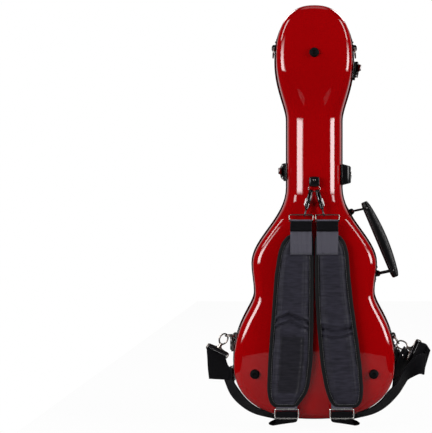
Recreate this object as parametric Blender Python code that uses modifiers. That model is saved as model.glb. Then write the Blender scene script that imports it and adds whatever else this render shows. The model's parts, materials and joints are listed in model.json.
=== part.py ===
"""Hard-shell case for a small figure-eight instrument.

Two lacquered shells close on a pair of black rims. The lid swings on two hinges and is held by three draw
latches and a key lock. A handle, four lashing rings and two padded shoulder straps hang on the base shell.

Metres, +Z up. The lid faces -Y, the back faces +Y, the handle is on the -X side and the hinges on +X.
Everything is drawn in the case's own frame: x from its middle, y from the seam, z from the shell's lowest
point. One empty carries that frame to the world, where the feet stand on z = 0.
"""

import math

import bmesh
import bpy
import numpy as np
from mathutils import Matrix, Vector
from mathutils.bvhtree import BVHTree

# ---------------------------------------------------------------- driving dimensions (metres)

FOOT_HEIGHT = 0.012          # floor to the shell's lowest point
SEAM_Y = -0.025125           # seam plane, placed so that the case with its straps is centred on y = 0

# Outline: half widths and the heights they sit at
SHELL_HEIGHT = 0.746
LOWER_BOUT_HALF = 0.1470
LOWER_BOUT_Z = 0.103
WAIST_HALF = 0.109
WAIST_Z = 0.228
UPPER_BOUT_HALF = 0.1135
UPPER_BOUT_Z = 0.280
NECK_HALF = 0.0503
NECK_LOW_Z = 0.418
NECK_HIGH_Z = SHELL_HEIGHT - 0.206
HEAD_HALF = 0.0715
HEAD_Z = SHELL_HEIGHT - 0.098
BOTTOM_ROUNDNESS = 2.35      # superellipse exponents of the two ends
TOP_ROUNDNESS = 2.38

# Shell sections, each as (body, neck, head)
BASE_DEPTH = (0.079, 0.058, 0.078)
BASE_FILLET = (0.025, 0.030, 0.027)
LID_DEPTH = (0.042, 0.040, 0.042)
LID_FILLET = (0.024, 0.022, 0.024)
BASE_CROWN = 0.006           # how far the middle of a face domes past its edge
LID_CROWN = 0.005
WALL_SLOPE = 0.065           # inward lean of a side wall, per metre of depth
SHOULDER_LOW = 0.350         # the back drops from body depth to neck depth between these heights
SHOULDER_HIGH = 0.408
NAPE_LOW = SHELL_HEIGHT - 0.201   # and rises again to head depth between these
NAPE_HIGH = SHELL_HEIGHT - 0.131
SHELL_WALL = 0.003
LINING_GAP = 0.0012
LINING_THICKNESS = 0.006

# Rims: a channel that grips each shell's edge
RIM_WIDTH = 0.0075
RIM_WALL = 0.0014
BAND = 0.009                 # straight stretch of wall beside the seam

# Lid hinges
HINGE_HEIGHTS = (0.076, 0.134)
HINGE_LENGTH = 0.028
HINGE_PIN_RADIUS = 0.0012
HINGE_KNUCKLE_RADIUS = 0.0028
HINGE_LEAF_WALL = 0.0015
HINGE_LEAF_REACH = 0.028

# Draw latches: side of the case and height of each
LATCHES = {"head_latch": (-1, HEAD_Z - 0.014), "lower_latch": (-1, 0.112), "neck_latch": (1, 0.447)}
LATCH_HALF = 0.0145          # half length of the base plate along the seam
LEVER_HALF = 0.0092
LEVER_PIVOT = (0.0066, 0.0142)   # height off the wall, distance from the seam
CLAW_PIVOT = (0.0094, 0.0228)
CLAW_REACH = 0.0150
CLAW_WIRE = 0.0011
LATCH_PIN = 0.0012

# Key lock on the neck
LOCK_Z = 0.441
LOCK_HALF = 0.0195
LOCK_HEIGHT = 0.0172
LOCK_DEPTH = 0.039
LOCK_CYLINDER_RADIUS = 0.0055
LOCK_CYLINDER_Y = 0.0265

# Lashing lugs and their D-rings
HEAD_LUG_Z = HEAD_Z + 0.020
LOWER_LUG_Z = 0.150
LUG_Y = 0.043
LUG_LENGTH = 0.032
LUG_WIDTH = 0.012
LUG_PLATE = 0.0016
SADDLE_HALF = 0.0048
RING_WIRE = 0.0015
RING_HALF = 0.0100
RING_REACH = 0.0175
LOWER_RING_LIFTS = (70.0, 15.0)   # degrees the strapped rings stand out from hanging, left and right

# Handle
HANDLE_Y = 0.026
HANDLE_LUG_HEIGHTS = (0.262, 0.3723)   # lower, upper
BAIL_LENGTH = 0.028
BAIL_RISE = 12.0             # degrees the bails tip upwards
BAIL_HALF = 0.0142
BAIL_WIRE = 0.0016
GRIP_WIDTH = 0.021
GRIP_THICKNESS = 0.018
GRIP_OVERHANG = 0.0125       # grip past its bail tunnels

# Back bumpers and feet
BUMPER_RADIUS = 0.0085
BUMPER_HEIGHT = 0.006
BUMPERS = {"head_bumper": (0.0, HEAD_Z + 0.007), "left_bumper": (0.105, 0.086),
           "right_bumper": (-0.105, 0.086)}
FOOT_X = 0.0525
FOOT_Y = 0.0178
FOOT_TOP_RADIUS = 0.008
FOOT_SOLE_RADIUS = 0.0055

# Neck cradle inside the base
CRADLE_LOW = 0.452
CRADLE_HIGH = 0.484
CRADLE_FACE = 0.014          # its face, back from the seam
NOTCH_HALF = 0.021
NOTCH_DEPTH = 0.020

# Shoulder straps
ANCHOR_Z = 0.427
ANCHOR_WIDTH = 0.014
ANCHOR_DEPTH = 0.011
ANCHOR_HEIGHT = 0.018
ANCHOR_RING_HALVES = (0.0095, 0.0135)   # half width of its top and bottom bars
ANCHOR_RING_DROP = 0.0135
WEBBING_WIDTH = 0.038
WEBBING_THICKNESS = 0.0018
BUCKLE_WIRE = 0.0013
BUCKLE_HALF = 0.0208
STRAP_RING_X = 0.0232        # middle of each strap's upper ring
STRAP_RING_Z = 0.368
STRAP_RING_DROP = 0.0115
SLIDER_X = 0.0485
SLIDER_DROP = 0.0165
HOOK_WIRE = 0.0018
EYE_WIRE = 0.0015
UPPER_BOW = (0.0062, 0.028)  # half width and length of a snap hook's bow
LOWER_BOW = (0.0075, 0.0205)
LOWER_HOOK_SPAN = 0.036
LOWER_HOOK_TILTS = (27.0, 65.0)   # degrees from hanging straight down, left and right
PAD_THICKNESS = 0.009
PAD_TOP_Z = 0.332
PAD_BOTTOM_Z = 0.028
PATCH_LOW_Z = 0.297

CLEARANCE = 0.0003
BACK_CLEARANCE = 0.0012      # soft pads over the domed back

# ---------------------------------------------------------------- materials

FINISHES = {
    "red_lacquer": ((0.33, 0.004, 0.006, 1.0), 0.12, 0.0),
    "black_rubber": ((0.012, 0.012, 0.013, 1.0), 0.55, 0.0),
    "black_plastic": ((0.015, 0.015, 0.018, 1.0), 0.35, 0.0),
    "black_nickel": ((0.09, 0.085, 0.09, 1.0), 0.28, 1.0),
    "bright_nickel": ((0.60, 0.60, 0.60, 1.0), 0.22, 1.0),
    "black_leather": ((0.016, 0.016, 0.018, 1.0), 0.50, 0.0),
    "charcoal_nylon": ((0.030, 0.029, 0.040, 1.0), 0.60, 0.0),
    "black_webbing": ((0.012, 0.012, 0.014, 1.0), 0.70, 0.0),
    "black_plush": ((0.014, 0.014, 0.015, 1.0), 0.95, 0.0),
}


def make_material(name, finish):
    """A Principled material called name, with one of the finishes above."""
    colour, roughness, metallic = FINISHES[finish]
    material = bpy.data.materials.new(name)
    material.use_nodes = True
    shader = material.node_tree.nodes["Principled BSDF"]
    shader.inputs["Base Color"].default_value = colour
    shader.inputs["Roughness"].default_value = roughness
    shader.inputs["Metallic"].default_value = metallic
    material.diffuse_color = colour
    return material


# ---------------------------------------------------------------- scene and object helpers

def clear_scene():
    """Removes what the file opened with and makes the part's two collections."""
    for old in list(bpy.data.objects):
        bpy.data.objects.remove(old, do_unlink=True)
    case = bpy.data.collections.new("instrument_case")
    cutters = bpy.data.collections.new("cutters")
    bpy.context.scene.collection.children.link(case)
    bpy.context.scene.collection.children.link(cutters)
    return case, cutters


def make_empty(name, location, parent=None):
    """An empty at a point of its parent's frame, for a joint or for the case's own frame."""
    empty = bpy.data.objects.new(name, None)
    empty.empty_display_size = 0.02
    empty.location = location
    empty.parent = parent
    CASE.objects.link(empty)
    return empty


def add_object(name, data, finish, matrix=None, pivot=None):
    """A named part in the case frame, carried by the case frame or by a joint's empty."""
    obj = bpy.data.objects.new(name, data)
    obj.matrix_basis = matrix or Matrix.Identity(4)
    obj.parent = pivot or FRAME
    if pivot:
        obj.matrix_parent_inverse = Matrix.Translation(-pivot.location)
    material = make_material(name, finish)
    if data.materials:
        obj.material_slots[0].link = "OBJECT"
        obj.material_slots[0].material = material
    else:
        data.materials.append(material)
    CASE.objects.link(obj)
    return obj


def add_cutter(name, data, matrix=None):
    """A guide solid that a Boolean reads and nothing shows."""
    obj = bpy.data.objects.new(name, data)
    obj.matrix_basis = matrix or Matrix.Identity(4)
    obj.hide_render = True
    obj.display_type = "WIRE"
    CUTTERS.objects.link(obj)
    return obj


def finish_mesh(bm, name, angle=35.0):
    """Turns a bmesh into mesh data, smooth but for its sharp edges."""
    data = bpy.data.meshes.new(name)
    bm.to_mesh(data)
    bm.free()
    data.shade_smooth()
    data.set_sharp_from_angle(angle=math.radians(angle))
    return data


def bevel(obj, width, segments=1):
    """Rounds an object's edges."""
    modifier = obj.modifiers.new("edges", "BEVEL")
    modifier.width = width
    modifier.segments = segments
    modifier.limit_method = "ANGLE"
    modifier.angle_limit = math.radians(40.0)
    return modifier


def boolean(obj, tool, operation):
    """Joins or cuts an object with a guide solid."""
    modifier = obj.modifiers.new(operation.lower(), "BOOLEAN")
    modifier.operation = operation
    modifier.solver = "EXACT"
    modifier.object = tool
    return modifier


def box_mesh(name, low, high):
    """A box between two corners."""
    bm = bmesh.new()
    size = Vector(high) - Vector(low)
    middle = (Vector(high) + Vector(low)) / 2
    bmesh.ops.create_cube(bm, size=1.0, matrix=Matrix.Translation(middle) @ Matrix.Diagonal((*size, 1.0)))
    return finish_mesh(bm, name)


def cylinder_mesh(name, radius, start, end, segments=12):
    """A cylinder from one point to another."""
    start = Vector(start)
    axis = Vector(end) - start
    turn = axis.to_track_quat("Z", "Y").to_matrix().to_4x4()
    matrix = Matrix.Translation(start + axis / 2) @ turn
    bm = bmesh.new()
    bmesh.ops.create_cone(bm, cap_ends=True, segments=segments, radius1=radius, radius2=radius,
                          depth=axis.length, matrix=matrix)
    return finish_mesh(bm, name)


def prism_mesh(name, profile, axes, half, taper=None):
    """A profile extruded both ways along the axis that axes leaves out.

    profile lists (a, b) pairs, axes names their directions, such as "xy", and half is the half length. taper
    maps a profile pair to the share of half that its corner reaches.
    """
    first, second = ("xyz".index(letter) for letter in axes)
    third = 3 - first - second
    bm = bmesh.new()
    rings = []
    for sign in (-1.0, 1.0):
        ring = []
        for pair in profile:
            point = [0.0, 0.0, 0.0]
            point[first], point[second] = pair
            point[third] = sign * half * (taper(pair) if taper else 1.0)
            ring.append(bm.verts.new(point))
        rings.append(ring)
        bm.faces.new(ring)
    count = len(profile)
    for k in range(count):
        after = (k + 1) % count
        bm.faces.new((rings[0][k], rings[0][after], rings[1][after], rings[1][k]))
    bmesh.ops.recalc_face_normals(bm, faces=bm.faces)
    return finish_mesh(bm, name)


def wire_curve(name, points, radius, cyclic=True, resolution=2):
    """A bent wire through the points."""
    data = bpy.data.curves.new(name, "CURVE")
    data.dimensions = "3D"
    data.bevel_depth = radius
    data.bevel_resolution = resolution
    data.use_fill_caps = not cyclic
    spline = data.splines.new("POLY")
    spline.points.add(len(points) - 1)
    for slot, point in zip(spline.points, points):
        slot.co = (*point, 1.0)
    spline.use_cyclic_u = cyclic
    return data


def mesh_of(data):
    """The plain mesh of a curve, with its caps welded."""
    holder = bpy.data.objects.new("holder", data)
    bpy.context.scene.collection.objects.link(holder)
    bpy.context.view_layer.update()
    solid = bpy.data.meshes.new_from_object(holder.evaluated_get(bpy.context.evaluated_depsgraph_get()))
    bpy.data.objects.remove(holder)
    bm = bmesh.new()
    bm.from_mesh(solid)
    bmesh.ops.remove_doubles(bm, verts=bm.verts, dist=0.00001)
    return finish_mesh(bm, data.name)


def fused_mesh(name, pieces):
    """One solid from several overlapping meshes."""
    first, *others = pieces
    holder = bpy.data.objects.new("holder", first)
    bpy.context.scene.collection.objects.link(holder)
    tools = []
    for k, piece in enumerate(others):
        tool = add_cutter(f"{name}_piece_{k}", piece)
        boolean(holder, tool, "UNION")
        tools.append(tool)
    bpy.context.view_layer.update()
    solid = bpy.data.meshes.new_from_object(holder.evaluated_get(bpy.context.evaluated_depsgraph_get()))
    solid.name = name
    for old in (holder, *tools):
        bpy.data.objects.remove(old)
    return solid


def rounded_loop(half_x, half_y, radius, steps=3):
    """A rectangle with round corners, as (x, y) pairs."""
    pairs = []
    for quarter, (sx, sy) in enumerate(((1, 1), (-1, 1), (-1, -1), (1, -1))):
        for k in range(steps):
            angle = math.pi / 2 * (quarter + k / (steps - 1))
            pairs.append((sx * (half_x - radius) + radius * math.cos(angle),
                          sy * (half_y - radius) + radius * math.sin(angle)))
    return pairs


# ---------------------------------------------------------------- the shells' shape

def smooth_step(low, high, value):
    """0 below low, 1 above high, and an easy curve between."""
    share = min(max((value - low) / (high - low), 0.0), 1.0)
    return share * share * (3.0 - 2.0 * share)


def along(stations, z):
    """A section value at a height, from its (body, neck, head) values."""
    body, neck, head = stations
    shoulder = smooth_step(SHOULDER_LOW, SHOULDER_HIGH, z)
    nape = smooth_step(NAPE_LOW, NAPE_HIGH, z)
    return body + (neck - body) * shoulder + (head - neck) * nape


def bend(start, end, leave, arrive, steps):
    """Points of a Bezier curve between two heights where the outline runs upright.

    leave and arrive are how far it holds upright past each, as shares of the rise between them.
    """
    rise = end[1] - start[1]
    corners = [start, (start[0], start[1] + leave * rise), (end[0], end[1] - arrive * rise), end]
    points = []
    for k in range(steps):
        t = k / steps
        weights = ((1 - t) ** 3, 3 * t * (1 - t) ** 2, 3 * t * t * (1 - t), t ** 3)
        points.append(tuple(sum(w * c[axis] for w, c in zip(weights, corners)) for axis in (0, 1)))
    return points


def half_outline():
    """(half width, height) pairs from the bottom centre, up one side, to the top centre."""
    points = []
    for k in range(7):
        angle = math.pi / 2 * k / 7
        points.append((LOWER_BOUT_HALF * math.sin(angle) ** (2 / BOTTOM_ROUNDNESS),
                       LOWER_BOUT_Z * (1 - math.cos(angle) ** (2 / BOTTOM_ROUNDNESS))))
    lower = (LOWER_BOUT_HALF, LOWER_BOUT_Z)
    waist = (WAIST_HALF, WAIST_Z)
    upper = (UPPER_BOUT_HALF, UPPER_BOUT_Z)
    neck_low = (NECK_HALF, NECK_LOW_Z)
    neck_high = (NECK_HALF, NECK_HIGH_Z)
    head = (HEAD_HALF, HEAD_Z)
    points += bend(lower, waist, 0.576, 0.200, 5)
    points += bend(waist, upper, 0.327, 0.327, 2)
    points += bend(upper, neck_low, 0.326, 0.406, 5)
    points += bend(neck_low, neck_high, 0.311, 0.311, 2)
    points += bend(neck_high, head, 0.231, 0.463, 4)
    for k in range(7):
        angle = math.pi / 2 * k / 6
        points.append((HEAD_HALF * math.cos(angle) ** (2 / TOP_ROUNDNESS),
                       HEAD_Z + (SHELL_HEIGHT - HEAD_Z) * math.sin(angle) ** (2 / TOP_ROUNDNESS)))
    outline = np.array(points)
    outline[-1, 0] = 0.0
    return outline


def miters(outline):
    """Outward offset direction at each outline point, for a parallel offset of every side."""
    ahead = np.vstack([outline[1:], outline[-2] * (-1.0, 1.0)])
    behind = np.vstack([outline[1] * (-1.0, 1.0), outline[:-1]])
    normals = []
    for step in (ahead - outline, outline - behind):
        unit = step / np.linalg.norm(step, axis=1)[:, None]
        normals.append(np.column_stack([unit[:, 1], -unit[:, 0]]))
    first, second = normals
    return (first + second) / (1.0 + np.sum(first * second, axis=1))[:, None]


OUTLINE = half_outline()
MITERS = miters(OUTLINE)


def offset_ring(inset, y):
    """The outline moved inwards, point by point, at depth y, as an array of 3-D points."""
    moved = OUTLINE - MITERS * np.reshape(inset, (-1, 1))
    return np.column_stack([moved[:, 0], np.broadcast_to(y, len(moved)), moved[:, 1]])


def shell_rings(depth, fillet, crown, side, start, turns=(0, 30, 60, 90), shares=(0.5, 1.0)):
    """Rings of a shell's outer surface, from its edge at depth start to the spine of its face.

    side is 1 for the base, whose face looks to +Y, and -1 for the lid. turns are the fillet's rings in
    degrees, and shares are the face's rings from its edge to the spine.
    """
    heights = OUTLINE[:, 1]
    rings = [offset_ring(0.0, side * start)]
    if start < BAND:
        rings.append(offset_ring(0.0, side * BAND))
    for angle in np.radians(turns):
        inset = np.zeros(len(OUTLINE))
        for _ in range(2):    # the second pass reads the section at the ring's own height
            level = np.array([along(depth, z) for z in heights])
            radius = np.array([along(fillet, z) for z in heights])
            inset = WALL_SLOPE * (level - radius - BAND) + radius * (1 - math.cos(angle))
            heights = (OUTLINE - MITERS * inset[:, None])[:, 1]
        rings.append(offset_ring(inset, side * (level - radius + radius * math.sin(angle))))
    edge = rings[-1]
    low, high = edge[0, 2] + 0.050, edge[-1, 2] - 0.032
    spine = low + (edge[:, 2] - edge[0, 2]) / (edge[-1, 2] - edge[0, 2]) * (high - low)
    for share in shares:
        x = edge[:, 0] * (1 - share)
        z = edge[:, 2] * (1 - share) + spine * share
        y = [side * (along(depth, height) + crown * (1 - (1 - share) ** 2)) for height in z]
        rings.append(np.column_stack([x, y, z]))
    for ring in rings:
        ring[0, 0] = 0.0
        ring[-1, 0] = 0.0
    return rings


def grid_mesh(name, rows, flip):
    """Faces between rows of points."""
    bm = bmesh.new()
    grid = [[bm.verts.new(point) for point in row] for row in rows]
    for near, far in zip(grid, grid[1:]):
        for k in range(len(near) - 1):
            corners = (near[k], near[k + 1], far[k + 1], far[k])
            bm.faces.new(corners[::-1] if flip else corners)
    return finish_mesh(bm, name)


def mirrored_skin(name, rings, finish, side, thickness, depth_below=0.0, pivot=None):
    """A shell from one half of its outer surface: mirrored across x = 0, then given its wall."""
    obj = add_object(name, grid_mesh(name, rings, side > 0), finish, pivot=pivot)
    mirror = obj.modifiers.new("both_halves", "MIRROR")
    mirror.merge_threshold = 0.0001
    wall = obj.modifiers.new("wall", "SOLIDIFY")
    wall.thickness = thickness
    wall.offset = -1.0 - 2.0 * depth_below / thickness
    wall.use_even_offset = True
    return obj


def rim_rings(side):
    """Middle surface of a rim: outer leg, web across the shell's edge and inner leg."""
    outer = CLEARANCE + RIM_WALL / 2
    inner = -SHELL_WALL - CLEARANCE - RIM_WALL / 2
    web = CLEARANCE + RIM_WALL / 2
    corners = ((outer, RIM_WIDTH), (outer, web), (inner, web), (inner, RIM_WIDTH))
    rings = [offset_ring(-offset, side * y) for offset, y in corners]
    for ring in rings:
        ring[0, 0] = 0.0
        ring[-1, 0] = 0.0
    return rings


SHELL_START = RIM_WALL + 3 * CLEARANCE
LINING_START = RIM_WIDTH + 0.003
LINING_TURNS = (0, 45, 90)


def make_shells():
    """Shells, rims and linings. Returns the surface that pieces on the back are seated on."""
    base = shell_rings(BASE_DEPTH, BASE_FILLET, BASE_CROWN, 1, SHELL_START)
    lid = shell_rings(LID_DEPTH, LID_FILLET, LID_CROWN, -1, SHELL_START)
    mirrored_skin("base_shell", base, "red_lacquer", 1, SHELL_WALL)
    mirrored_skin("lid_shell", lid, "red_lacquer", -1, SHELL_WALL, pivot=LID_PIVOT)
    for name, side, pivot in (("base_rim", 1, None), ("lid_rim", -1, LID_PIVOT)):
        rim = mirrored_skin(name, rim_rings(side), "black_rubber", -side, RIM_WALL, pivot=pivot)
        rim.modifiers["wall"].offset = 0.0
    below = SHELL_WALL + LINING_GAP
    base_liner = shell_rings(BASE_DEPTH, BASE_FILLET, BASE_CROWN, 1, LINING_START, LINING_TURNS, (1.0,))
    lid_liner = shell_rings(LID_DEPTH, LID_FILLET, LID_CROWN, -1, LINING_START, LINING_TURNS, (1.0,))
    mirrored_skin("base_lining", base_liner, "black_plush", 1, LINING_THICKNESS, below)
    mirrored_skin("lid_lining", lid_liner, "black_plush", -1, LINING_THICKNESS, below, LID_PIVOT)
    return surface_tree(base)


def surface_tree(rings):
    """A search tree of a shell's whole outer surface, for seating pieces on it."""
    rows = [np.vstack([ring, ring[::-1] * (-1.0, 1.0, 1.0)]) for ring in rings]
    width = len(rows[0])
    points = [Vector(point) for row in rows for point in row]
    quads = []
    for r in range(len(rows) - 1):
        for k in range(width - 1):
            first = r * width + k
            quads.append((first, first + 1, first + width + 1, first + width))
    return BVHTree.FromPolygons(points, quads)


def back_point(tree, x, z):
    """The base shell's back surface behind (x, z), with its outward normal."""
    point, normal, _, _ = tree.ray_cast(Vector((x, 0.4, z)), Vector((0.0, -1.0, 0.0)))
    return point, normal if normal.y > 0 else -normal


# ---------------------------------------------------------------- frames on the side walls

def outline_side(z):
    """The outline segment that spans a height: its start, its unit direction and its point at that height."""
    index = int(np.searchsorted(OUTLINE[:, 1], z)) - 1
    start, end = OUTLINE[index], OUTLINE[index + 1]
    share = (z - start[1]) / (end[1] - start[1])
    return (end - start) / np.linalg.norm(end - start), start + (end - start) * share


def wall_frame(side, z, slope=WALL_SLOPE):
    """A frame in a side wall's face: origin on the seam plane, X outwards, Y to the back."""
    direction, point = outline_side(z)
    outward = Vector((side * direction[1], slope, -direction[0])).normalized()
    upright = Vector((side * direction[0], 0.0, direction[1]))
    back = upright.cross(outward) * side
    origin = Vector((side * point[0], 0.0, point[1]))
    lead = Vector((side * direction[1], 0.0, -direction[0])) * slope * BAND
    matrix = Matrix.Identity(4)
    for column, axis in enumerate((outward, back, outward.cross(back))):
        matrix.col[column].xyz = axis
    matrix.translation = origin + lead
    return matrix


def square_frame(side, z, y, half_width):
    """A wall frame at depth y without the wall's lean, set off so that a plate half_width wide clears it."""
    matrix = wall_frame(side, z, 0.0)
    outward = matrix.col[0].xyz
    matrix.translation = wall_frame(side, z) @ Vector((0.0, y, 0.0)) + outward * WALL_SLOPE * half_width
    return matrix


# ---------------------------------------------------------------- hardware

def make_hinges():
    """Two butt hinges at the lower bout. The base leaf holds the pin."""
    radius = HINGE_KNUCKLE_RADIUS
    knuckle = HINGE_LENGTH / 3
    gap = 2 * CLEARANCE
    for name, z in zip(("lower_hinge", "upper_hinge"), HINGE_HEIGHTS):
        reach = [outline_side(z + k * HINGE_LENGTH / 2)[1][0] for k in (-1, 0, 1)]
        seat = max(reach) + CLEARANCE - HINGE_X
        leaf_x = (-radius, -radius + HINGE_LEAF_WALL)
        for side, pivot in ((1, None), (-1, LID_PIVOT)):
            near, foot, far = (side * y for y in (radius + gap, BAND + CLEARANCE, HINGE_LEAF_REACH))
            if side < 0:
                far = -HINGE_LEAF_REACH * 0.6
            profile = [(leaf_x[0], near), (leaf_x[1], near), (leaf_x[1], far), (seat, far), (seat, foot),
                       (leaf_x[0], foot)]
            plate = prism_mesh("leaf", profile, "xy", HINGE_LENGTH / 2)
            if side > 0:
                spans = [(-knuckle / 2, knuckle / 2)]
            else:
                spans = [(-HINGE_LENGTH / 2, -knuckle / 2 - gap), (knuckle / 2 + gap, HINGE_LENGTH / 2)]
            pieces = [plate]
            for low, high in spans:
                pieces.append(cylinder_mesh("barrel", radius, (0, 0, low), (0, 0, high)))
                web = sorted((0.0, near * 1.2))
                pieces.append(box_mesh("web", (leaf_x[0], web[0], low), (leaf_x[1], web[1], high)))
            if side > 0:
                pieces.append(cylinder_mesh("pin", HINGE_PIN_RADIUS, (0, 0, -HINGE_LENGTH / 2),
                                            (0, 0, HINGE_LENGTH / 2), 8))
            part = "base_leaf" if side > 0 else "lid_leaf"
            obj = add_object(f"{name}_{part}", fused_mesh(part, pieces), "black_nickel",
                             Matrix.Translation((HINGE_X, 0.0, z)), pivot)
            if side < 0:
                bore = cylinder_mesh("bore", HINGE_PIN_RADIUS + CLEARANCE * 1.3,
                                     (0, 0, -HINGE_LENGTH), (0, 0, HINGE_LENGTH), 12)
                cutter = add_cutter(f"{name}_bore", bore)
                cutter.parent = FRAME
                cutter.location = (HINGE_X, 0.0, z)
                boolean(obj, cutter, "DIFFERENCE")


def latch_plate_mesh():
    """Base plate with two ears that carry the lever's pin."""
    low, high = BAND + 2 * CLEARANCE, 0.033
    ear_in = LEVER_HALF + 2 * CLAW_WIRE + 3 * CLEARANCE
    ear_out = ear_in + 0.0016
    plate = box_mesh("plate", (CLEARANCE, low, -LATCH_HALF), (0.0018, high, LATCH_HALF))
    pieces = [plate]
    for sign in (-1, 1):
        z_low, z_high = sorted((sign * ear_in, sign * ear_out))
        pieces.append(box_mesh("ear", (0.0010, low, z_low), (0.0096, low + 0.009, z_high)))
    return fused_mesh("latch_plate", pieces)


def lever_mesh():
    """Curved lever with its pin, thinner and turned up at the tip, bored for the claw."""
    u, y = LEVER_PIVOT
    profile = [(u - 0.0024, y - 0.0026), (u + 0.0022, y - 0.0026), (0.0118, 0.0180), (0.0124, 0.0240),
               (0.0112, 0.0330), (0.0142, 0.0415), (0.0168, 0.0450), (0.0154, 0.0462), (0.0118, 0.0425),
               (0.0086, 0.0345), (0.0064, 0.0260), (0.0040, 0.0180)]

    def narrower(pair):
        return 1.0 - 0.42 * smooth_step(0.026, 0.044, pair[1])

    body = prism_mesh("lever", profile, "xy", LEVER_HALF, narrower)
    reach = LEVER_HALF + 2 * CLAW_WIRE + 0.0034
    pin = cylinder_mesh("pin", LATCH_PIN, (u, y, -reach), (u, y, reach), 8)
    return fused_mesh("lever", [body, pin])


def claw_points():
    """Wire loop of the claw, from the lever's bore across the seam to the keeper."""
    half_z = LEVER_HALF + CLAW_WIRE + 1.5 * CLEARANCE
    middle = (CLAW_PIVOT[1] - CLAW_REACH) / 2
    half_y = (CLAW_PIVOT[1] + CLAW_REACH) / 2
    return [(CLAW_PIVOT[0], middle + y, z) for z, y in rounded_loop(half_z, half_y, 0.0022)]


def make_latches():
    """Three draw latches: plate, lever and claw on the base, keeper on the lid."""
    plate_data, lever_data = latch_plate_mesh(), lever_mesh()
    claw_data = wire_curve("claw", claw_points(), CLAW_WIRE)
    ridge = (BAND + 2 * CLEARANCE, BAND + 0.0042)
    keeper_profile = [(CLEARANCE, -ridge[0]), (0.0064, -ridge[0]), (0.0068, -ridge[1] + 0.0008),
                      (0.0060, -ridge[1]), (0.0020, -ridge[1]), (0.0020, -0.0215), (CLEARANCE, -0.0215)]
    keeper_data = prism_mesh("keeper", keeper_profile, "xy", LATCH_HALF + 0.0020)
    for name, (side, z) in LATCHES.items():
        frame = wall_frame(side, z)
        lever_pivot = make_empty(f"{name}_lever_pivot", frame @ Vector((*LEVER_PIVOT, 0.0)), FRAME)
        claw_pivot = make_empty(f"{name}_claw_pivot", frame @ Vector((*CLAW_PIVOT, 0.0)), FRAME)
        plate = add_object(f"{name}_plate", plate_data.copy(), "black_nickel", frame)
        holes = cylinder_mesh("holes", LATCH_PIN + CLEARANCE, (*LEVER_PIVOT, -0.03), (*LEVER_PIVOT, 0.03), 12)
        lever = add_object(f"{name}_lever", lever_data.copy(), "black_nickel", frame, lever_pivot)
        bore = cylinder_mesh("bore", CLAW_WIRE + CLEARANCE, (*CLAW_PIVOT, -0.03), (*CLAW_PIVOT, 0.03), 12)
        for obj, tool in ((plate, holes), (lever, bore)):
            cutter = add_cutter(f"{obj.name}_bore", tool, frame)
            cutter.parent = FRAME
            boolean(obj, cutter, "DIFFERENCE")
        add_object(f"{name}_claw", claw_data.copy(), "black_nickel", frame, claw_pivot)
        add_object(f"{name}_keeper", keeper_data.copy(), "black_nickel", wall_frame(side, z, 0.0), LID_PIVOT)


def make_lock():
    """Key lock on the neck: a housing with a turning cylinder, and a keeper that spans the seam."""
    frame = wall_frame(-1, LOCK_Z)
    start = BAND + 2 * CLEARANCE
    end = start + LOCK_DEPTH - 0.008
    profile = [(CLEARANCE, start), (LOCK_HEIGHT - 0.002, start), (LOCK_HEIGHT, start + 0.003),
               (LOCK_HEIGHT, end - 0.006), (LOCK_HEIGHT - 0.005, end), (CLEARANCE, end)]
    housing = add_object("lock_housing", prism_mesh("lock_housing", profile, "xy", LOCK_HALF),
                         "black_plastic", frame)
    bevel(housing, 0.0016)
    socket = cylinder_mesh("socket", LOCK_CYLINDER_RADIUS + CLEARANCE, (0.006, LOCK_CYLINDER_Y, 0),
                           (0.030, LOCK_CYLINDER_Y, 0), 20)
    cutter = add_cutter("lock_socket", socket, frame)
    cutter.parent = FRAME
    boolean(housing, cutter, "DIFFERENCE")
    pivot = make_empty("lock_cylinder_pivot", frame @ Vector((LOCK_HEIGHT, LOCK_CYLINDER_Y, 0.0)), FRAME)
    core = cylinder_mesh("lock_cylinder", LOCK_CYLINDER_RADIUS, (0.006 + CLEARANCE, LOCK_CYLINDER_Y, 0),
                         (LOCK_HEIGHT + 0.0014, LOCK_CYLINDER_Y, 0), 20)
    cylinder = add_object("lock_cylinder", core, "bright_nickel", frame, pivot)
    slot = box_mesh("slot", (LOCK_HEIGHT - 0.002, LOCK_CYLINDER_Y - 0.0008, -0.0034),
                    (LOCK_HEIGHT + 0.010, LOCK_CYLINDER_Y + 0.0008, 0.0034))
    keyway = add_cutter("lock_keyway", slot, frame)
    keyway.parent = FRAME
    boolean(cylinder, keyway, "DIFFERENCE")
    lid_frame = wall_frame(-1, LOCK_Z, 0.0)
    bridge = CLEARANCE + RIM_WALL + 4 * CLEARANCE
    top = LOCK_HEIGHT - 0.0030
    low, high = -BAND - 2 * CLEARANCE, BAND - CLEARANCE
    keeper_profile = [(CLEARANCE, low), (bridge, low), (bridge, high), (top, high), (top, -0.012), (top - 0.005, -0.0185), (CLEARANCE, -0.0185)]
    keeper = add_object("lock_keeper", prism_mesh("lock_keeper", keeper_profile, "xy", LOCK_HALF - 0.0015),
                        "black_plastic", lid_frame, LID_PIVOT)
    bevel(keeper, 0.0012)


def lug_profile():
    """Section of a strap lug: a flat plate humped over the wire that it holds."""
    end, shoulder, top = LUG_LENGTH / 2, SADDLE_HALF + 0.0012, 2 * RING_WIRE + 0.0058
    half = [(CLEARANCE, end), (LUG_PLATE, end), (LUG_PLATE, shoulder), (top - 0.0018, SADDLE_HALF),
            (top, SADDLE_HALF * 0.5)]
    return half + [(u, -z) for u, z in reversed(half)]


WIRE_HEIGHT = RING_WIRE + 0.0036    # wire centre above the wall, inside a lug


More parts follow.
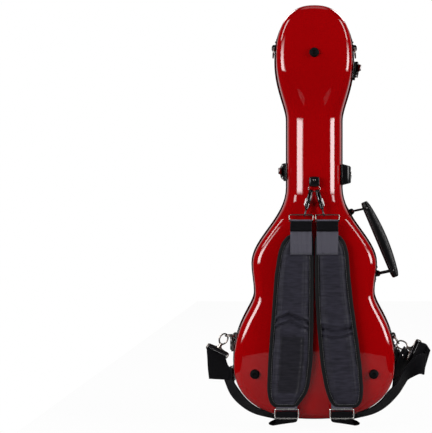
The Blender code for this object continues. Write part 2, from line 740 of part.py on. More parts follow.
def add_lug(name, frame, wire):
    """A lug at the frame's origin, its bore along the frame's Y."""
    lug = add_object(name, prism_mesh(name, lug_profile(), "xz", LUG_WIDTH / 2), "black_nickel", frame)
    tunnel = cylinder_mesh("tunnel", wire + CLEARANCE, (WIRE_HEIGHT, -0.03, 0), (WIRE_HEIGHT, 0.03, 0), 12)
    cutter = add_cutter(f"{name}_tunnel", tunnel, frame)
    cutter.parent = FRAME
    boolean(lug, cutter, "DIFFERENCE")
    return lug


def ring_points():
    """D-ring in the YZ plane: a straight bar on the Y axis and a round bow towards -Z."""
    bow = RING_HALF + 0.0008
    drop = RING_REACH - bow
    points = [(0.0, -RING_HALF, 0.0), (0.0, RING_HALF, 0.0)]
    for k in range(9):
        angle = math.pi * k / 8
        points.append((0.0, bow * math.cos(angle), -drop - bow * math.sin(angle)))
    return points


def make_lashing_rings():
    """Four lugs with D-rings: two hang at the head, two are held out by the strap hooks."""
    ring_data = wire_curve("d_ring", ring_points(), RING_WIRE)
    ends = {}
    for level, z, lifts in (("head", HEAD_LUG_Z, (0.0, 0.0)), ("lower", LOWER_LUG_Z, LOWER_RING_LIFTS)):
        for word, side, lift in zip(("left", "right"), (1, -1), lifts):
            frame = wall_frame(side, z) @ Matrix.Translation((0.0, LUG_Y, 0.0))
            add_lug(f"{level}_{word}_lug", frame, RING_WIRE)
            bar = frame @ Matrix.Translation((WIRE_HEIGHT, 0.0, 0.0))
            if side < 0:
                bar = bar @ Matrix.Rotation(math.pi, 4, "X")
            bar = bar @ Matrix.Rotation(-math.radians(lift), 4, "Y")
            pivot = make_empty(f"{level}_{word}_ring_pivot", bar.translation, FRAME)
            add_object(f"{level}_{word}_ring", ring_data.copy(), "black_nickel", bar, pivot)
            ends[level, side] = bar @ Vector((0.0, 0.0, -RING_REACH))
    return ends


def make_handle():
    """Leather grip on two wire bails, each hung in its own lug."""
    angle = math.radians(BAIL_RISE)
    link = Vector((-BAIL_LENGTH * math.cos(angle), 0.0, BAIL_LENGTH * math.sin(angle)))
    tunnels = []
    for word, z in zip(("lower", "upper"), HANDLE_LUG_HEIGHTS):
        frame = square_frame(-1, z, HANDLE_Y, LUG_WIDTH / 2)
        add_lug(f"handle_{word}_lug", frame, BAIL_WIRE)
        start = frame @ Vector((WIRE_HEIGHT, 0.0, 0.0))
        back = Vector((0.0, 1.0, 0.0))
        matrix = Matrix.Identity(4)
        for column, axis in enumerate((link.normalized(), back, link.normalized().cross(back))):
            matrix.col[column].xyz = axis
        matrix.translation = start
        pivot = make_empty(f"handle_{word}_bail_pivot", start, FRAME)
        points = [(BAIL_LENGTH / 2 + x, y, 0.0) for x, y in rounded_loop(BAIL_LENGTH / 2, BAIL_HALF, 0.003)]
        bail = wire_curve("bail", points, BAIL_WIRE)
        add_object(f"handle_{word}_bail", bail, "black_nickel", matrix, pivot)
        tunnels.append(start + link)
    add_grip(*tunnels)


def add_grip(low, high):
    """The grip between its two tunnels, thick in the middle and rounded at the ends."""
    axis = (high - low).normalized()
    back = Vector((0.0, 1.0, 0.0))
    matrix = Matrix.Identity(4)
    for column, direction in enumerate((back.cross(axis), back, axis)):
        matrix.col[column].xyz = direction
    middle = (low + high) / 2
    matrix.translation = middle
    reach = (high - low).length / 2
    half = reach + GRIP_OVERHANG
    profile = []
    for k in range(9):
        z = -half + 2 * half * k / 8
        swell = 0.60 + 0.40 * (1 - (z / half) ** 4)
        profile.append((GRIP_THICKNESS / 2 * swell, z))
    profile += [(-x, z) for x, z in reversed(profile)]
    pivot = make_empty("handle_grip_pivot", high, FRAME)
    data = prism_mesh("handle_grip", profile, "xz", GRIP_WIDTH / 2)
    grip = add_object("handle_grip", data, "black_leather", matrix, pivot)
    bevel(grip, 0.0032, 2)
    for k, z in enumerate((-reach, reach)):
        tunnel = cylinder_mesh("tunnel", BAIL_WIRE + CLEARANCE, (0, -0.03, z), (0, 0.03, z), 12)
        cutter = add_cutter(f"grip_tunnel_{k}", tunnel, matrix)
        cutter.parent = FRAME
        boolean(grip, cutter, "DIFFERENCE")


def turned_mesh(name, profile, steps=16):
    """A solid turned round its Z axis from (radius, height) pairs, top to bottom."""
    bm = bmesh.new()
    verts = [bm.verts.new((radius, 0.0, height)) for radius, height in profile]
    for first, second in zip(verts, verts[1:]):
        bm.edges.new((first, second))
    data = bpy.data.meshes.new(name)
    bm.to_mesh(data)
    bm.free()
    holder = bpy.data.objects.new(name, data)
    bpy.context.scene.collection.objects.link(holder)
    screw = holder.modifiers.new("turn", "SCREW")
    screw.steps = steps
    screw.render_steps = steps
    screw.use_merge_vertices = True
    screw.merge_threshold = 0.00002
    screw.use_smooth_shade = True
    bpy.context.view_layer.update()
    solid = bpy.data.meshes.new_from_object(holder.evaluated_get(bpy.context.evaluated_depsgraph_get()))
    solid.name = name
    bpy.data.objects.remove(holder)
    return solid


def make_bumpers(tree):
    """Three domed rubber bumpers on the back, so that the case can lie on it."""
    profile = [(0.0, BUMPER_HEIGHT), (BUMPER_RADIUS * 0.62, BUMPER_HEIGHT),
               (BUMPER_RADIUS * 0.88, BUMPER_HEIGHT * 0.8), (BUMPER_RADIUS, BUMPER_HEIGHT * 0.45),
               (BUMPER_RADIUS, 0.0), (0.0, 0.0)]
    data = turned_mesh("bumper", profile)
    for name, (x, z) in BUMPERS.items():
        point, normal = back_point(tree, x, z)
        turn = normal.to_track_quat("Z", "Y").to_matrix().to_4x4()
        matrix = Matrix.Translation(point + normal * 2 * CLEARANCE) @ turn
        add_object(name, data.copy(), "black_rubber", matrix)


def make_feet(tree):
    """Two tapered feet under the base, their tops shaped to the shell."""
    for name, x in (("left_foot", FOOT_X), ("right_foot", -FOOT_X)):
        bm = bmesh.new()
        bmesh.ops.create_cone(bm, cap_ends=True, segments=16, radius1=FOOT_SOLE_RADIUS,
                              radius2=FOOT_TOP_RADIUS, depth=FOOT_HEIGHT,
                              matrix=Matrix.Translation((x, FOOT_Y, -FOOT_HEIGHT / 2)))
        for vert in bm.verts:
            if vert.co.z > -FOOT_HEIGHT / 2:
                hit = tree.ray_cast(Vector((vert.co.x, vert.co.y, -0.05)), Vector((0.0, 0.0, 1.0)))[0]
                vert.co.z = hit.z - CLEARANCE
        tops = [face for face in bm.faces if len(face.verts) > 4 and face.normal.z > 0]
        bmesh.ops.triangulate(bm, faces=tops)
        add_object(name, finish_mesh(bm, name), "black_rubber")


def make_cradle():
    """Padded neck cradle inside the base, its sides shaped to the lining."""
    inner = SHELL_WALL + LINING_GAP + LINING_THICKNESS + 2 * CLEARANCE
    fillet = along(BASE_FILLET, CRADLE_LOW)
    level = along(BASE_DEPTH, CRADLE_LOW)
    lean = WALL_SLOPE * (level - fillet - BAND)
    centre = (NECK_HALF - lean - fillet, level - fillet)
    radius = fillet - inner / math.cos(math.radians(LINING_TURNS[1] / 2))
    side = [(centre[0] + radius, CRADLE_FACE)]
    for turn in np.radians(LINING_TURNS):
        side.append((centre[0] + radius * math.cos(turn), centre[1] + radius * math.sin(turn)))
    notch = [(NOTCH_HALF, CRADLE_FACE)]
    for k in range(1, 4):
        turn = math.pi / 2 * k / 3
        notch.append((NOTCH_HALF * math.cos(turn), CRADLE_FACE + NOTCH_DEPTH * math.sin(turn)))
    outer = side + [(-x, y) for x, y in reversed(side)]
    inner_edge = [(-x, y) for x, y in notch[:-1]] + [(0.0, CRADLE_FACE + NOTCH_DEPTH)] + notch[-2::-1]
    profile = outer + inner_edge
    cradle = prism_mesh("neck_cradle", profile, "xy", (CRADLE_HIGH - CRADLE_LOW) / 2)
    middle = (CRADLE_LOW + CRADLE_HIGH) / 2
    add_object("neck_cradle", cradle, "black_plush", Matrix.Translation((0.0, 0.0, middle)))


# ---------------------------------------------------------------- shoulder straps

def oval(half_x, half_z, middle, count=12):
    """An oval in the XZ plane."""
    points = []
    for k in range(count):
        angle = 2 * math.pi * k / count
        points.append((half_x * math.cos(angle), 0.0, middle + half_z * math.sin(angle)))
    return points


def hook_frame(origin, direction, side_axis):
    """A snap hook's frame: it hangs from the origin along direction, its plane square to side_axis."""
    up = -direction.normalized()
    side = (side_axis - up * side_axis.dot(up)).normalized()
    matrix = Matrix.Identity(4)
    for column, axis in enumerate((side.cross(up), side, up)):
        matrix.col[column].xyz = axis
    matrix.translation = origin
    return matrix


def hook_mesh(name, bow, held_wire, eye_points):
    """Snap hook along Z: a bow round the wire at its origin, a swivel stem, and an eye at the bottom.

    bow is the bow's (half width, length), and eye_points run round the eye from its top.
    """
    half, length = bow
    top = held_wire + HOOK_WIRE + 2 * CLEARANCE
    middle = top - length / 2
    bow_mesh = mesh_of(wire_curve("bow", oval(half, length / 2, middle), HOOK_WIRE, resolution=1))
    stem_top = top - length + 0.0008
    stem = cylinder_mesh("stem", 0.0030, (0, 0, stem_top), (0, 0, eye_points[0][2] - 0.0004), 10)
    eye = mesh_of(wire_curve("eye", eye_points, EYE_WIRE, resolution=1))
    return fused_mesh(name, [bow_mesh, stem, eye])


def make_anchor(tree):
    """Anchor block on the neck with a trapezoid ring for both hooks. Returns the middle of its bottom bar."""
    point, _ = back_point(tree, 0.0, ANCHOR_Z)
    low = (-ANCHOR_WIDTH / 2, CLEARANCE * 2, -ANCHOR_HEIGHT / 2)
    high = (ANCHOR_WIDTH / 2, ANCHOR_DEPTH, ANCHOR_HEIGHT / 2)
    frame = Matrix.Translation(point + Vector((0.0, 0.0003, 0.0)))
    anchor = add_object("strap_anchor", box_mesh("strap_anchor", low, high), "black_plastic", frame)
    bevel(anchor, 0.003, 2)
    bar = Vector((0.0, 0.0066, -ANCHOR_HEIGHT / 2 + 0.0042))
    reach = Vector((0.03, 0.0, 0.0))
    bore = cylinder_mesh("bore", BUCKLE_WIRE + CLEARANCE, bar - reach, bar + reach)
    cutter = add_cutter("anchor_bore", bore, frame)
    cutter.parent = FRAME
    boolean(anchor, cutter, "DIFFERENCE")
    top_half, bottom_half = ANCHOR_RING_HALVES
    lean = 0.0040
    corners = [(-top_half, 0.0, 0.0), (top_half, 0.0, 0.0), (bottom_half, lean, -ANCHOR_RING_DROP),
               (-bottom_half, lean, -ANCHOR_RING_DROP)]
    ring_frame = frame @ Matrix.Translation(bar)
    add_object("anchor_ring", wire_curve("anchor_ring", corners, BUCKLE_WIRE), "black_nickel", ring_frame)
    return ring_frame @ Vector((0.0, lean, -ANCHOR_RING_DROP))


def make_upper_hooks(bar, level):
    """Two snap hooks from the anchor's ring, each with a rectangular strap ring in its eye."""
    for word, side in (("left", 1), ("right", -1)):
        start = bar + Vector((side * 0.0062, 0.0, 0.0))
        end = Vector((side * (STRAP_RING_X - 0.0065), level, STRAP_RING_Z))
        span = (end - start).length
        reach = BUCKLE_WIRE + EYE_WIRE + CLEARANCE
        eye = oval(0.0052, (reach + 0.0105) / 2, -span + (0.0105 - reach) / 2, 12)
        eye = eye[3:] + eye[:3]
        data = hook_mesh("hook", UPPER_BOW, BUCKLE_WIRE, eye)
        frame = hook_frame(start, end - start, Vector((1.0, 0.0, 0.0)))
        add_object(f"{word}_upper_hook", data, "black_nickel", frame)
        middle = Vector((side * STRAP_RING_X, level, STRAP_RING_Z - STRAP_RING_DROP / 2))
        points = [(x, 0.0, z) for x, z in rounded_loop(BUCKLE_HALF, STRAP_RING_DROP / 2, 0.0020)]
        add_object(f"{word}_upper_ring", wire_curve("strap_ring", points, BUCKLE_WIRE), "bright_nickel",
                   Matrix.Translation(middle))


def make_lower_hooks(ends):
    """A snap hook on each lower D-ring, its eye as wide as the webbing. Returns the eyes' bars and frames."""
    bars = {}
    half, length = LOWER_BOW
    eye_top = -length + 0.0005 - 0.0055
    for word, side, tilt in zip(("left", "right"), (1, -1), LOWER_HOOK_TILTS):
        angle = math.radians(tilt)
        direction = Vector((side * math.sin(angle), 0.0, -math.cos(angle)))
        frame = hook_frame(ends["lower", side], direction, Vector((0.0, 1.0, 0.0)))
        drop = LOWER_HOOK_SPAN + eye_top
        loop = rounded_loop(BUCKLE_HALF, drop / 2, 0.0030)
        eye = [(0.0, 0.0, eye_top)] + [(x, 0.0, eye_top - drop / 2 + z) for x, z in loop[3:] + loop[:3]]
        data = hook_mesh("lower_hook", LOWER_BOW, RING_WIRE, eye)
        add_object(f"{word}_lower_hook", data, "black_nickel", frame)
        bars[side] = (frame @ Vector((0.0, 0.0, -LOWER_HOOK_SPAN)), direction)
    return bars


# Shoulder pads: (height, inner edge, outer edge), the edges measured from the case's middle line
PAD_STATIONS = ((PAD_BOTTOM_Z, 0.0285, 0.0690), (0.064, 0.0150, 0.0800), (0.115, 0.0060, 0.0830),
                (0.180, 0.0030, 0.0805), (0.250, 0.0020, 0.0720), (0.300, 0.0020, 0.0640),
                (PAD_TOP_Z, 0.0030, 0.0480))


def make_pads(tree):
    """Padded straps that lie down the back. Returns the depth of their outer faces."""
    spots = [(side * x, z) for side in (-1, 1) for z, *edges in PAD_STATIONS[1:] for x in edges]
    level = max(back_point(tree, x, z)[0].y for x, z in spots) + BACK_CLEARANCE
    for word, side in (("left", 1), ("right", -1)):
        rows = []
        for z, inner, outer in PAD_STATIONS:
            rows.append([(side * (inner + (outer - inner) * share), level, z) for share in (0.0, 0.5, 1.0)])
        pad = add_object(f"{word}_pad", grid_mesh("pad", rows, side > 0), "charcoal_nylon")
        wall = pad.modifiers.new("padding", "SOLIDIFY")
        wall.thickness = PAD_THICKNESS
        wall.offset = 1.0
        bevel(pad, 0.0025)
    return level


def add_ribbon(name, path):
    """Webbing of even thickness through (centre, width direction) stations."""
    rows = []
    for centre, across in path:
        edge = Vector(across).normalized() * WEBBING_WIDTH / 2
        rows.append([tuple(Vector(centre) - edge), tuple(Vector(centre) + edge)])
    band = add_object(name, grid_mesh(name, rows, False), "black_webbing")
    wall = band.modifiers.new("thickness", "SOLIDIFY")
    wall.thickness = WEBBING_THICKNESS
    wall.offset = 0.0
    return band


def wrap(middle, toward, back, radius, steps=4):
    """Centre-line points of webbing that turns over a bar, from its -back side to its +back side."""
    points = []
    for k in range(steps + 1):
        angle = math.pi * k / steps
        points.append(middle + toward * radius * math.sin(angle) - back * radius * math.cos(angle))
    return points


def make_upper_webbing(ring_level, pad_level):
    """Webbing folded over each strap's upper ring and sewn to the face of the pad."""
    turn = BUCKLE_WIRE + CLEARANCE + WEBBING_THICKNESS / 2
    face = pad_level + PAD_THICKNESS + CLEARANCE + WEBBING_THICKNESS / 2
    up, back = Vector((0.0, 0.0, 1.0)), Vector((0.0, 1.0, 0.0))
    for word, side in (("left", 1), ("right", -1)):
        x = side * STRAP_RING_X
        bar = Vector((x, ring_level, STRAP_RING_Z - STRAP_RING_DROP))
        centres = [Vector((x, ring_level - turn, PAD_TOP_Z + 0.0016))]
        centres += wrap(bar, up, back, turn)
        centres += [Vector((x, face, PAD_TOP_Z + 0.006)), Vector((x, face, PATCH_LOW_Z))]
        add_ribbon(f"{word}_upper_webbing", [(centre, (side, 0, 0)) for centre in centres])


def beside_wall(side, z, offset, y, turn):
    """A webbing station beside the side wall; turn is its rear edge's lean in to the wall, in degrees."""
    direction, point = outline_side(z)
    outward = Vector((side * direction[1], 0.0, -direction[0]))
    centre = Vector((side * point[0], y, point[1])) + outward * offset
    angle = math.radians(turn)
    return centre, Vector((0.0, math.cos(angle), 0.0)) - outward * math.sin(angle)


# The lower webbing's climb to each hook: (out from the lower bout, y, z) and its width direction
CLIMBS = {1: (((0.0130, 0.0445, 0.0760), (-0.92, 0.38, 0.0)),),
          -1: (((0.0085, 0.0470, 0.0640), (0.40, 0.88, 0.25)),
               ((0.0170, 0.0510, 0.0800), (0.28, 0.80, 0.53)),
               ((0.0290, 0.0560, 0.0930), (0.15, 0.52, 0.84)),
               ((0.0420, 0.0570, 0.1010), (0.00, 0.22, 0.97)),
               ((0.0510, 0.0530, 0.1030), (-0.15, 0.05, 0.98)),
               ((0.0530, 0.0480, 0.1035), (-0.20, 0.00, 0.98)),
               ((0.0505, 0.0430, 0.1050), (-0.30, 0.00, 0.95)))}


def make_sliders(pad_level, bars):
    """Slider buckles under the pads, and the lower webbing from each round the case's edge to its hook."""
    depth = pad_level + PAD_THICKNESS / 2
    turn = BUCKLE_WIRE + CLEARANCE + WEBBING_THICKNESS / 2
    top = PAD_BOTTOM_Z - CLEARANCE - BUCKLE_WIRE
    for word, side in (("left", 1), ("right", -1)):
        x = side * SLIDER_X
        points = [(px, 0.0, pz) for px, pz in rounded_loop(BUCKLE_HALF, SLIDER_DROP / 2, 0.0020)]
        add_object(f"{word}_slider", wire_curve("slider", points, BUCKLE_WIRE), "bright_nickel",
                   Matrix.Translation((x, depth, top - SLIDER_DROP / 2)))
        low = Vector((x, depth, top - SLIDER_DROP))
        path = [(Vector((x, depth + turn, top - 0.004)), Vector((side, 0.0, 0.0)))]
        for centre in reversed(wrap(low, Vector((0, 0, -1)), Vector((0, 1, 0)), turn)[2:]):
            path.append((centre, Vector((side, 0.0, 0.0))))
        for (out, y, z), across in (((0.0025, 0.0795, 0.0000), (0.90, 0.42, 0.00)),
                                    ((0.0125, 0.0670, -0.0045), (0.62, 0.78, 0.02)),
                                    ((0.0275, 0.0590, -0.0030), (0.20, 0.96, 0.12))):
            path.append((Vector((side * (SLIDER_X + out), y, z)), Vector((side * across[0], *across[1:]))))
        path += [beside_wall(side, 0.0195, 0.0100, 0.053, 25.0),
                 beside_wall(side, 0.0341, 0.0115, 0.049, 34.0),
                 beside_wall(side, 0.0524, 0.0130, 0.046, 42.0)]
        bar, direction = bars[side]
        reach = EYE_WIRE + 2 * CLEARANCE + WEBBING_THICKNESS / 2
        back = Vector((0.0, 1.0, 0.0))
        across = side * back.cross(direction)
        over = [(centre, across) for centre in wrap(bar, -direction, back, reach)]
        for (out, y, z), twist in CLIMBS[side]:
            path.append((Vector((side * (LOWER_BOUT_HALF + out), y, z)), Vector(twist)))
        if side > 0:
            path.append((bar + direction * 0.024 + back * reach, across))
            path += over[::-1]
            path.append((bar + direction * 0.016 - back * reach, across))
        else:
            path.append((bar + direction * 0.012 - back * reach, across))
            path += over
            path.append((bar + direction * 0.010 + back * reach, across))
        add_ribbon(f"{word}_lower_webbing", path)


CASE, CUTTERS = clear_scene()
FRAME = make_empty("case_frame", (0.0, SEAM_Y, FOOT_HEIGHT))
HINGE_X = LOWER_BOUT_HALF + CLEARANCE + RIM_WALL + HINGE_KNUCKLE_RADIUS + 2 * CLEARANCE
LID_PIVOT = make_empty("lid_hinge_axis", (HINGE_X, 0.0, LOWER_BOUT_Z), FRAME)
BACK = make_shells()
make_hinges()
make_latches()
make_lock()
RING_ENDS = make_lashing_rings()
make_handle()
make_bumpers(BACK)
make_feet(BACK)
make_cradle()
RING_BAR = make_anchor(BACK)
PAD_LEVEL = make_pads(BACK)
RING_LEVEL = PAD_LEVEL + PAD_THICKNESS / 2
make_upper_hooks(RING_BAR, RING_LEVEL)
make_upper_webbing(RING_LEVEL, PAD_LEVEL)
BARS = make_lower_hooks(RING_ENDS)
make_sliders(PAD_LEVEL, BARS)
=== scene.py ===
"""A hard instrument case with backpack straps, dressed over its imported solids.

Metres: +Z is up from the feet, +Y the back with the straps, -Y the lid, +X the hinges. Sizes of the case itself
are drawn in the case's frame: x from its middle, depth from the seam plane, height from the shell's lowest point.
"""

import json
import logging
import math
from dataclasses import dataclass
from enum import Enum
from typing import ClassVar, Iterable, Sequence
import bmesh
import bpy
from mathutils import Matrix, Vector, noise
from mathutils.bvhtree import BVHTree
from mathutils.geometry import interpolate_bezier


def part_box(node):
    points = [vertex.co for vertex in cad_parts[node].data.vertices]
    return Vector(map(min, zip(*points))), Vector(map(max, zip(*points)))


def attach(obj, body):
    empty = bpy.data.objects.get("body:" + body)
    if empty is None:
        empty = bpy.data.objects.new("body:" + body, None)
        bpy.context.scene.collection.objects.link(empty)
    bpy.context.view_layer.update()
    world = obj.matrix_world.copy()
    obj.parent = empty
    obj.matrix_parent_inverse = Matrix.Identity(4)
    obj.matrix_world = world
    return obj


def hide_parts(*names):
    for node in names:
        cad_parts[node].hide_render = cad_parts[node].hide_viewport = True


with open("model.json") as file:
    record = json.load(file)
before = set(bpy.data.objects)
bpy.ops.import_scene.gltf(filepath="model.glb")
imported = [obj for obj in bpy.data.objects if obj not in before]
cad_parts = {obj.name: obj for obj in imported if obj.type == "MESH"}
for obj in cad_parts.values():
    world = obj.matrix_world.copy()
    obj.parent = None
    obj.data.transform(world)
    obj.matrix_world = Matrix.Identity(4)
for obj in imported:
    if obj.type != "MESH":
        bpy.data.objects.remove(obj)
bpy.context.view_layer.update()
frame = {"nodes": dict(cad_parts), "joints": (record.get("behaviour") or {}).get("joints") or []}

LOG = logging.getLogger("case")
BASE = "case_base"
CLEARANCE = 0.0003
MERGE = 0.00001
X_AXIS, Y_AXIS, Z_AXIS = Vector((1.0, 0.0, 0.0)), Vector((0.0, 1.0, 0.0)), Vector((0.0, 0.0, 1.0))
Colour = tuple[float, float, float, float]
Triple = tuple[float, float, float]


class Slot(Enum):
    """The record's material slots."""

    LACQUER = "red_lacquer"
    RUBBER = "black_rubber"
    PLASTIC = "black_plastic"
    DARK_NICKEL = "black_nickel"
    BRIGHT_NICKEL = "bright_nickel"
    LEATHER = "black_leather"
    NYLON = "charcoal_nylon"
    WEBBING = "black_webbing"
    PLUSH = "black_plush"


# ---------------------------------------------------------------- shader maths

class Field:
    """One output of a shader node. Arithmetic on it adds Math nodes."""

    def __init__(self, graph: "Graph", socket: bpy.types.NodeSocket) -> None:
        """Wraps a socket of a graph's node."""
        self.graph = graph
        self.socket = socket

    def _math(self, operation: str, first: "Field | float", second: "Field | float") -> "Field":
        """A Math node on two values."""
        return self.graph.add("ShaderNodeMath", {"operation": operation}, {0: first, 1: second})

    def __add__(self, other: "Field | float") -> "Field":
        """self + other"""
        return self._math("ADD", self, other)

    __radd__ = __add__

    def __sub__(self, other: "Field | float") -> "Field":
        """self - other"""
        return self._math("SUBTRACT", self, other)

    def __rsub__(self, other: float) -> "Field":
        """other - self"""
        return self._math("SUBTRACT", other, self)

    def __mul__(self, other: "Field | float") -> "Field":
        """self * other"""
        return self._math("MULTIPLY", self, other)

    __rmul__ = __mul__


def grey(level: float) -> Colour:
    """An opaque grey."""
    return (level, level, level, 1.0)


class Graph:
    """A node tree whose nodes are added as Fields."""

    def __init__(self, tree: bpy.types.NodeTree) -> None:
        """Wraps a tree."""
        self.tree = tree

    def feed(self, socket: bpy.types.NodeSocket, value: object) -> None:
        """Links a Field to a socket, or sets the socket's own value.

        Args:
            socket: the socket to fill.
            value: a Field to link, or a plain value.
        """
        if isinstance(value, Field):
            self.tree.links.new(value.socket, socket)
        else:
            socket.default_value = value

    def add(self, kind: str, settings: dict | None = None, inputs: dict | None = None,
            output: int | str = 0) -> Field:
        """Adds a node.

        Args:
            kind: the node's type.
            settings: its attributes; stops holds a ramp's (position, colour) pairs.
            inputs: values or Fields by socket name or number.
            output: the socket to return.

        Returns:
            The chosen output.
        """
        node = self.tree.nodes.new(kind)
        for key, value in (settings or {}).items():
            if key != "stops":
                setattr(node, key, value)
                continue
            elements = node.color_ramp.elements
            while len(elements) < len(value):
                elements.new(1.0)
            for element, (position, colour) in zip(elements, value):
                element.position, element.color = position, colour
        for key, value in (inputs or {}).items():
            self.feed(node.inputs[key], value)
        return Field(self, node.outputs[output])

    def larger(self, first: Field, second: Field) -> Field:
        """The larger of two values."""
        return self.add("ShaderNodeMath", {"operation": "MAXIMUM"}, {0: first, 1: second})

    def smooth(self, value: Field, start: float, end: float, low: float = 0.0, high: float = 1.0) -> Field:
        """Goes smoothly from low to high while a value goes from start to end."""
        inputs = {"Value": value, "From Min": start, "From Max": end, "To Min": low, "To Max": high}
        return self.add("ShaderNodeMapRange", {"interpolation_type": "SMOOTHSTEP"}, inputs)

    def parts(self, vector: Field, axes: str) -> list[Field]:
        """The parts of a vector that the letters name."""
        return [self.add("ShaderNodeSeparateXYZ", None, {0: vector}, axis) for axis in axes]

    def rays(self, *kinds: str) -> list[Field]:
        """For each kind of ray, such as Camera, 1 on a ray of that kind and 0 on others."""
        return [self.add("ShaderNodeLightPath", output=f"Is {kind} Ray") for kind in kinds]


class LampGraph(Graph):
    """A lamp's node tree, for light that fades towards its edges."""

    def __init__(self, lamp: bpy.types.Light) -> None:
        """Starts on the lamp's own nodes."""
        lamp.use_nodes = True
        super().__init__(lamp.node_tree)

    def fade(self, across: float, foot: float, top: float) -> None:
        """Fades the lamp's edges.

        Args:
            across: the share of its width that fades on each side.
            foot: the share of its height that fades at the foot.
            top: the share that fades at the top.
        """
        u, v = self.parts(self.add("ShaderNodeNewGeometry", output="Parametric"), "XY")
        level = self.smooth(u, 0.0, across) * self.smooth(1 - u, 0.0, across)
        level = level * self.smooth(v, 0.0, foot) * self.smooth(1 - v, 0.0, top)
        glow = next(node for node in self.tree.nodes if node.type == "EMISSION")
        self.feed(glow.inputs["Strength"], level)


class MaterialGraph(Graph):
    """A material's node tree, with one Principled shader."""

    def __init__(self, name: str) -> None:
        """Starts an empty material.

        Args:
            name: the material's name.
        """
        self.material = bpy.data.materials.new(name)
        self.material.use_nodes = True
        super().__init__(self.material.node_tree)
        self.tree.nodes.clear()
        self.shader = self.tree.nodes.new("ShaderNodeBsdfPrincipled")
        self.output = self.tree.nodes.new("ShaderNodeOutputMaterial")
        self.tree.links.new(self.shader.outputs[0], self.output.inputs[0])

    def place(self, scale: Sequence[float] = (1.0, 1.0, 1.0), turn: Sequence[float] = (0.0, 0.0, 0.0),
              source: str = "Object") -> Field:
        """Object or UV coordinates, scaled and turned."""
        coords = self.add("ShaderNodeTexCoord", output=source)
        inputs = {"Vector": coords, "Rotation": tuple(turn), "Scale": tuple(scale)}
        return self.add("ShaderNodeMapping", None, inputs)

    def noise(self, scale: float, detail: float = 2.0, coords: Field | None = None) -> Field:
        """Soft noise between 0 and 1."""
        inputs = {"Vector": coords or self.place(), "Scale": scale, "Detail": detail}
        return self.add("ShaderNodeTexNoise", None, inputs)

    def wave(self, coords: Field, direction: str, scale: float) -> Field:
        """Round-topped ribs across one axis of the coordinates, at the Wave Texture's scale."""
        settings = {"wave_type": "BANDS", "bands_direction": direction, "wave_profile": "SIN"}
        return self.add("ShaderNodeTexWave", settings, {"Vector": coords, "Scale": scale})

    def ribs(self, coords: Field, direction: str, pitch: float) -> Field:
        """Round-topped ribs whose spacing is the pitch, in metres."""
        return self.wave(coords, direction, math.tau / pitch / 20.0)

    def ramp(self, value: Field, *stops: tuple[float, float]) -> Field:
        """A grey ramp through (position, level) stops."""
        colours = [(position, grey(level)) for position, level in stops]
        return self.add("ShaderNodeValToRGB", {"stops": colours}, {"Fac": value})

    def edges(self, start: float, end: float) -> Field:
        """Outer edges: a ramp from 0 to 1 over two levels of pointiness."""
        return self.ramp(self.add("ShaderNodeNewGeometry", output="Pointiness"), (start, 0.0), (end, 1.0))

    def mix(self, share: Field | float, first: "Colour | Field", second: "Colour | Field") -> Field:
        """A blend of two colours."""
        return self.add("ShaderNodeMix", {"data_type": "RGBA"}, {0: share, 6: first, 7: second}, 2)

    def blend(self, share: Field, first: Field, second: Field) -> Field:
        """A blend of two shaders."""
        return self.add("ShaderNodeMixShader", None, {0: share, 1: first, 2: second})

    def bump(self, height: Field, distance: float) -> Field:
        """A normal from a height field whose full step is distance metres."""
        return self.add("ShaderNodeBump", None, {"Height": height, "Distance": distance})

    def surface(self, **sockets: object) -> bpy.types.Material:
        """Sets the shader's sockets, underscores standing for spaces, and returns the material."""
        for key, value in sockets.items():
            self.feed(self.shader.inputs[key.replace("_", " ")], value)
        return self.material


# ---------------------------------------------------------------- finishes

@dataclass(frozen=True)
class Lacquer:
    """Deep red gloss lacquer under a clear coat, with a faint orange peel."""

    colour: Colour = (0.292, 0.0004, 0.0016, 1.0)
    deep: Colour = (0.242, 0.0003, 0.0010, 1.0)
    peel: float = 0.00003

    def make(self) -> bpy.types.Material:
        """Builds the material.

        Returns:
            The material.
        """
        graph = MaterialGraph("red_lacquer_gloss")
        cloud = graph.noise(9.0, 3.0)
        peel = graph.noise(210.0, 1.0)
        dust = graph.ramp(graph.noise(900.0, 4.0), (0.52, 0.0), (0.78, 1.0))
        return graph.surface(Base_Color=graph.mix(cloud, self.colour, self.deep), Roughness=0.45 + dust * 0.10,
                             Specular_IOR_Level=0.0, Coat_Weight=1.0, Coat_Roughness=0.018, Coat_IOR=1.5,
                             Normal=graph.bump(peel, self.peel))


@dataclass(frozen=True)
class Moulded:
    """Black rubber or plastic with a fine moulded grain and paler rubbed edges."""

    name: str
    colour: Colour = (0.0030, 0.0030, 0.0034, 1.0)
    rubbed: Colour = (0.016, 0.016, 0.018, 1.0)
    roughness: float = 0.42
    shine: float = 0.22
    grain: float = 0.00005

    def make(self) -> bpy.types.Material:
        """Builds the material.

        Returns:
            The material.
        """
        graph = MaterialGraph(self.name)
        grain = graph.noise(1500.0, 2.0)
        wear = graph.ramp(graph.noise(60.0, 5.0), (0.55, 0.0), (0.80, 1.0))
        edge = graph.edges(0.51, 0.60)
        return graph.surface(Base_Color=graph.mix(edge * (0.4 + wear * 0.6), self.colour, self.rubbed),
                             Roughness=self.roughness + wear * 0.12, Specular_IOR_Level=self.shine,
                             Normal=graph.bump(grain, self.grain))


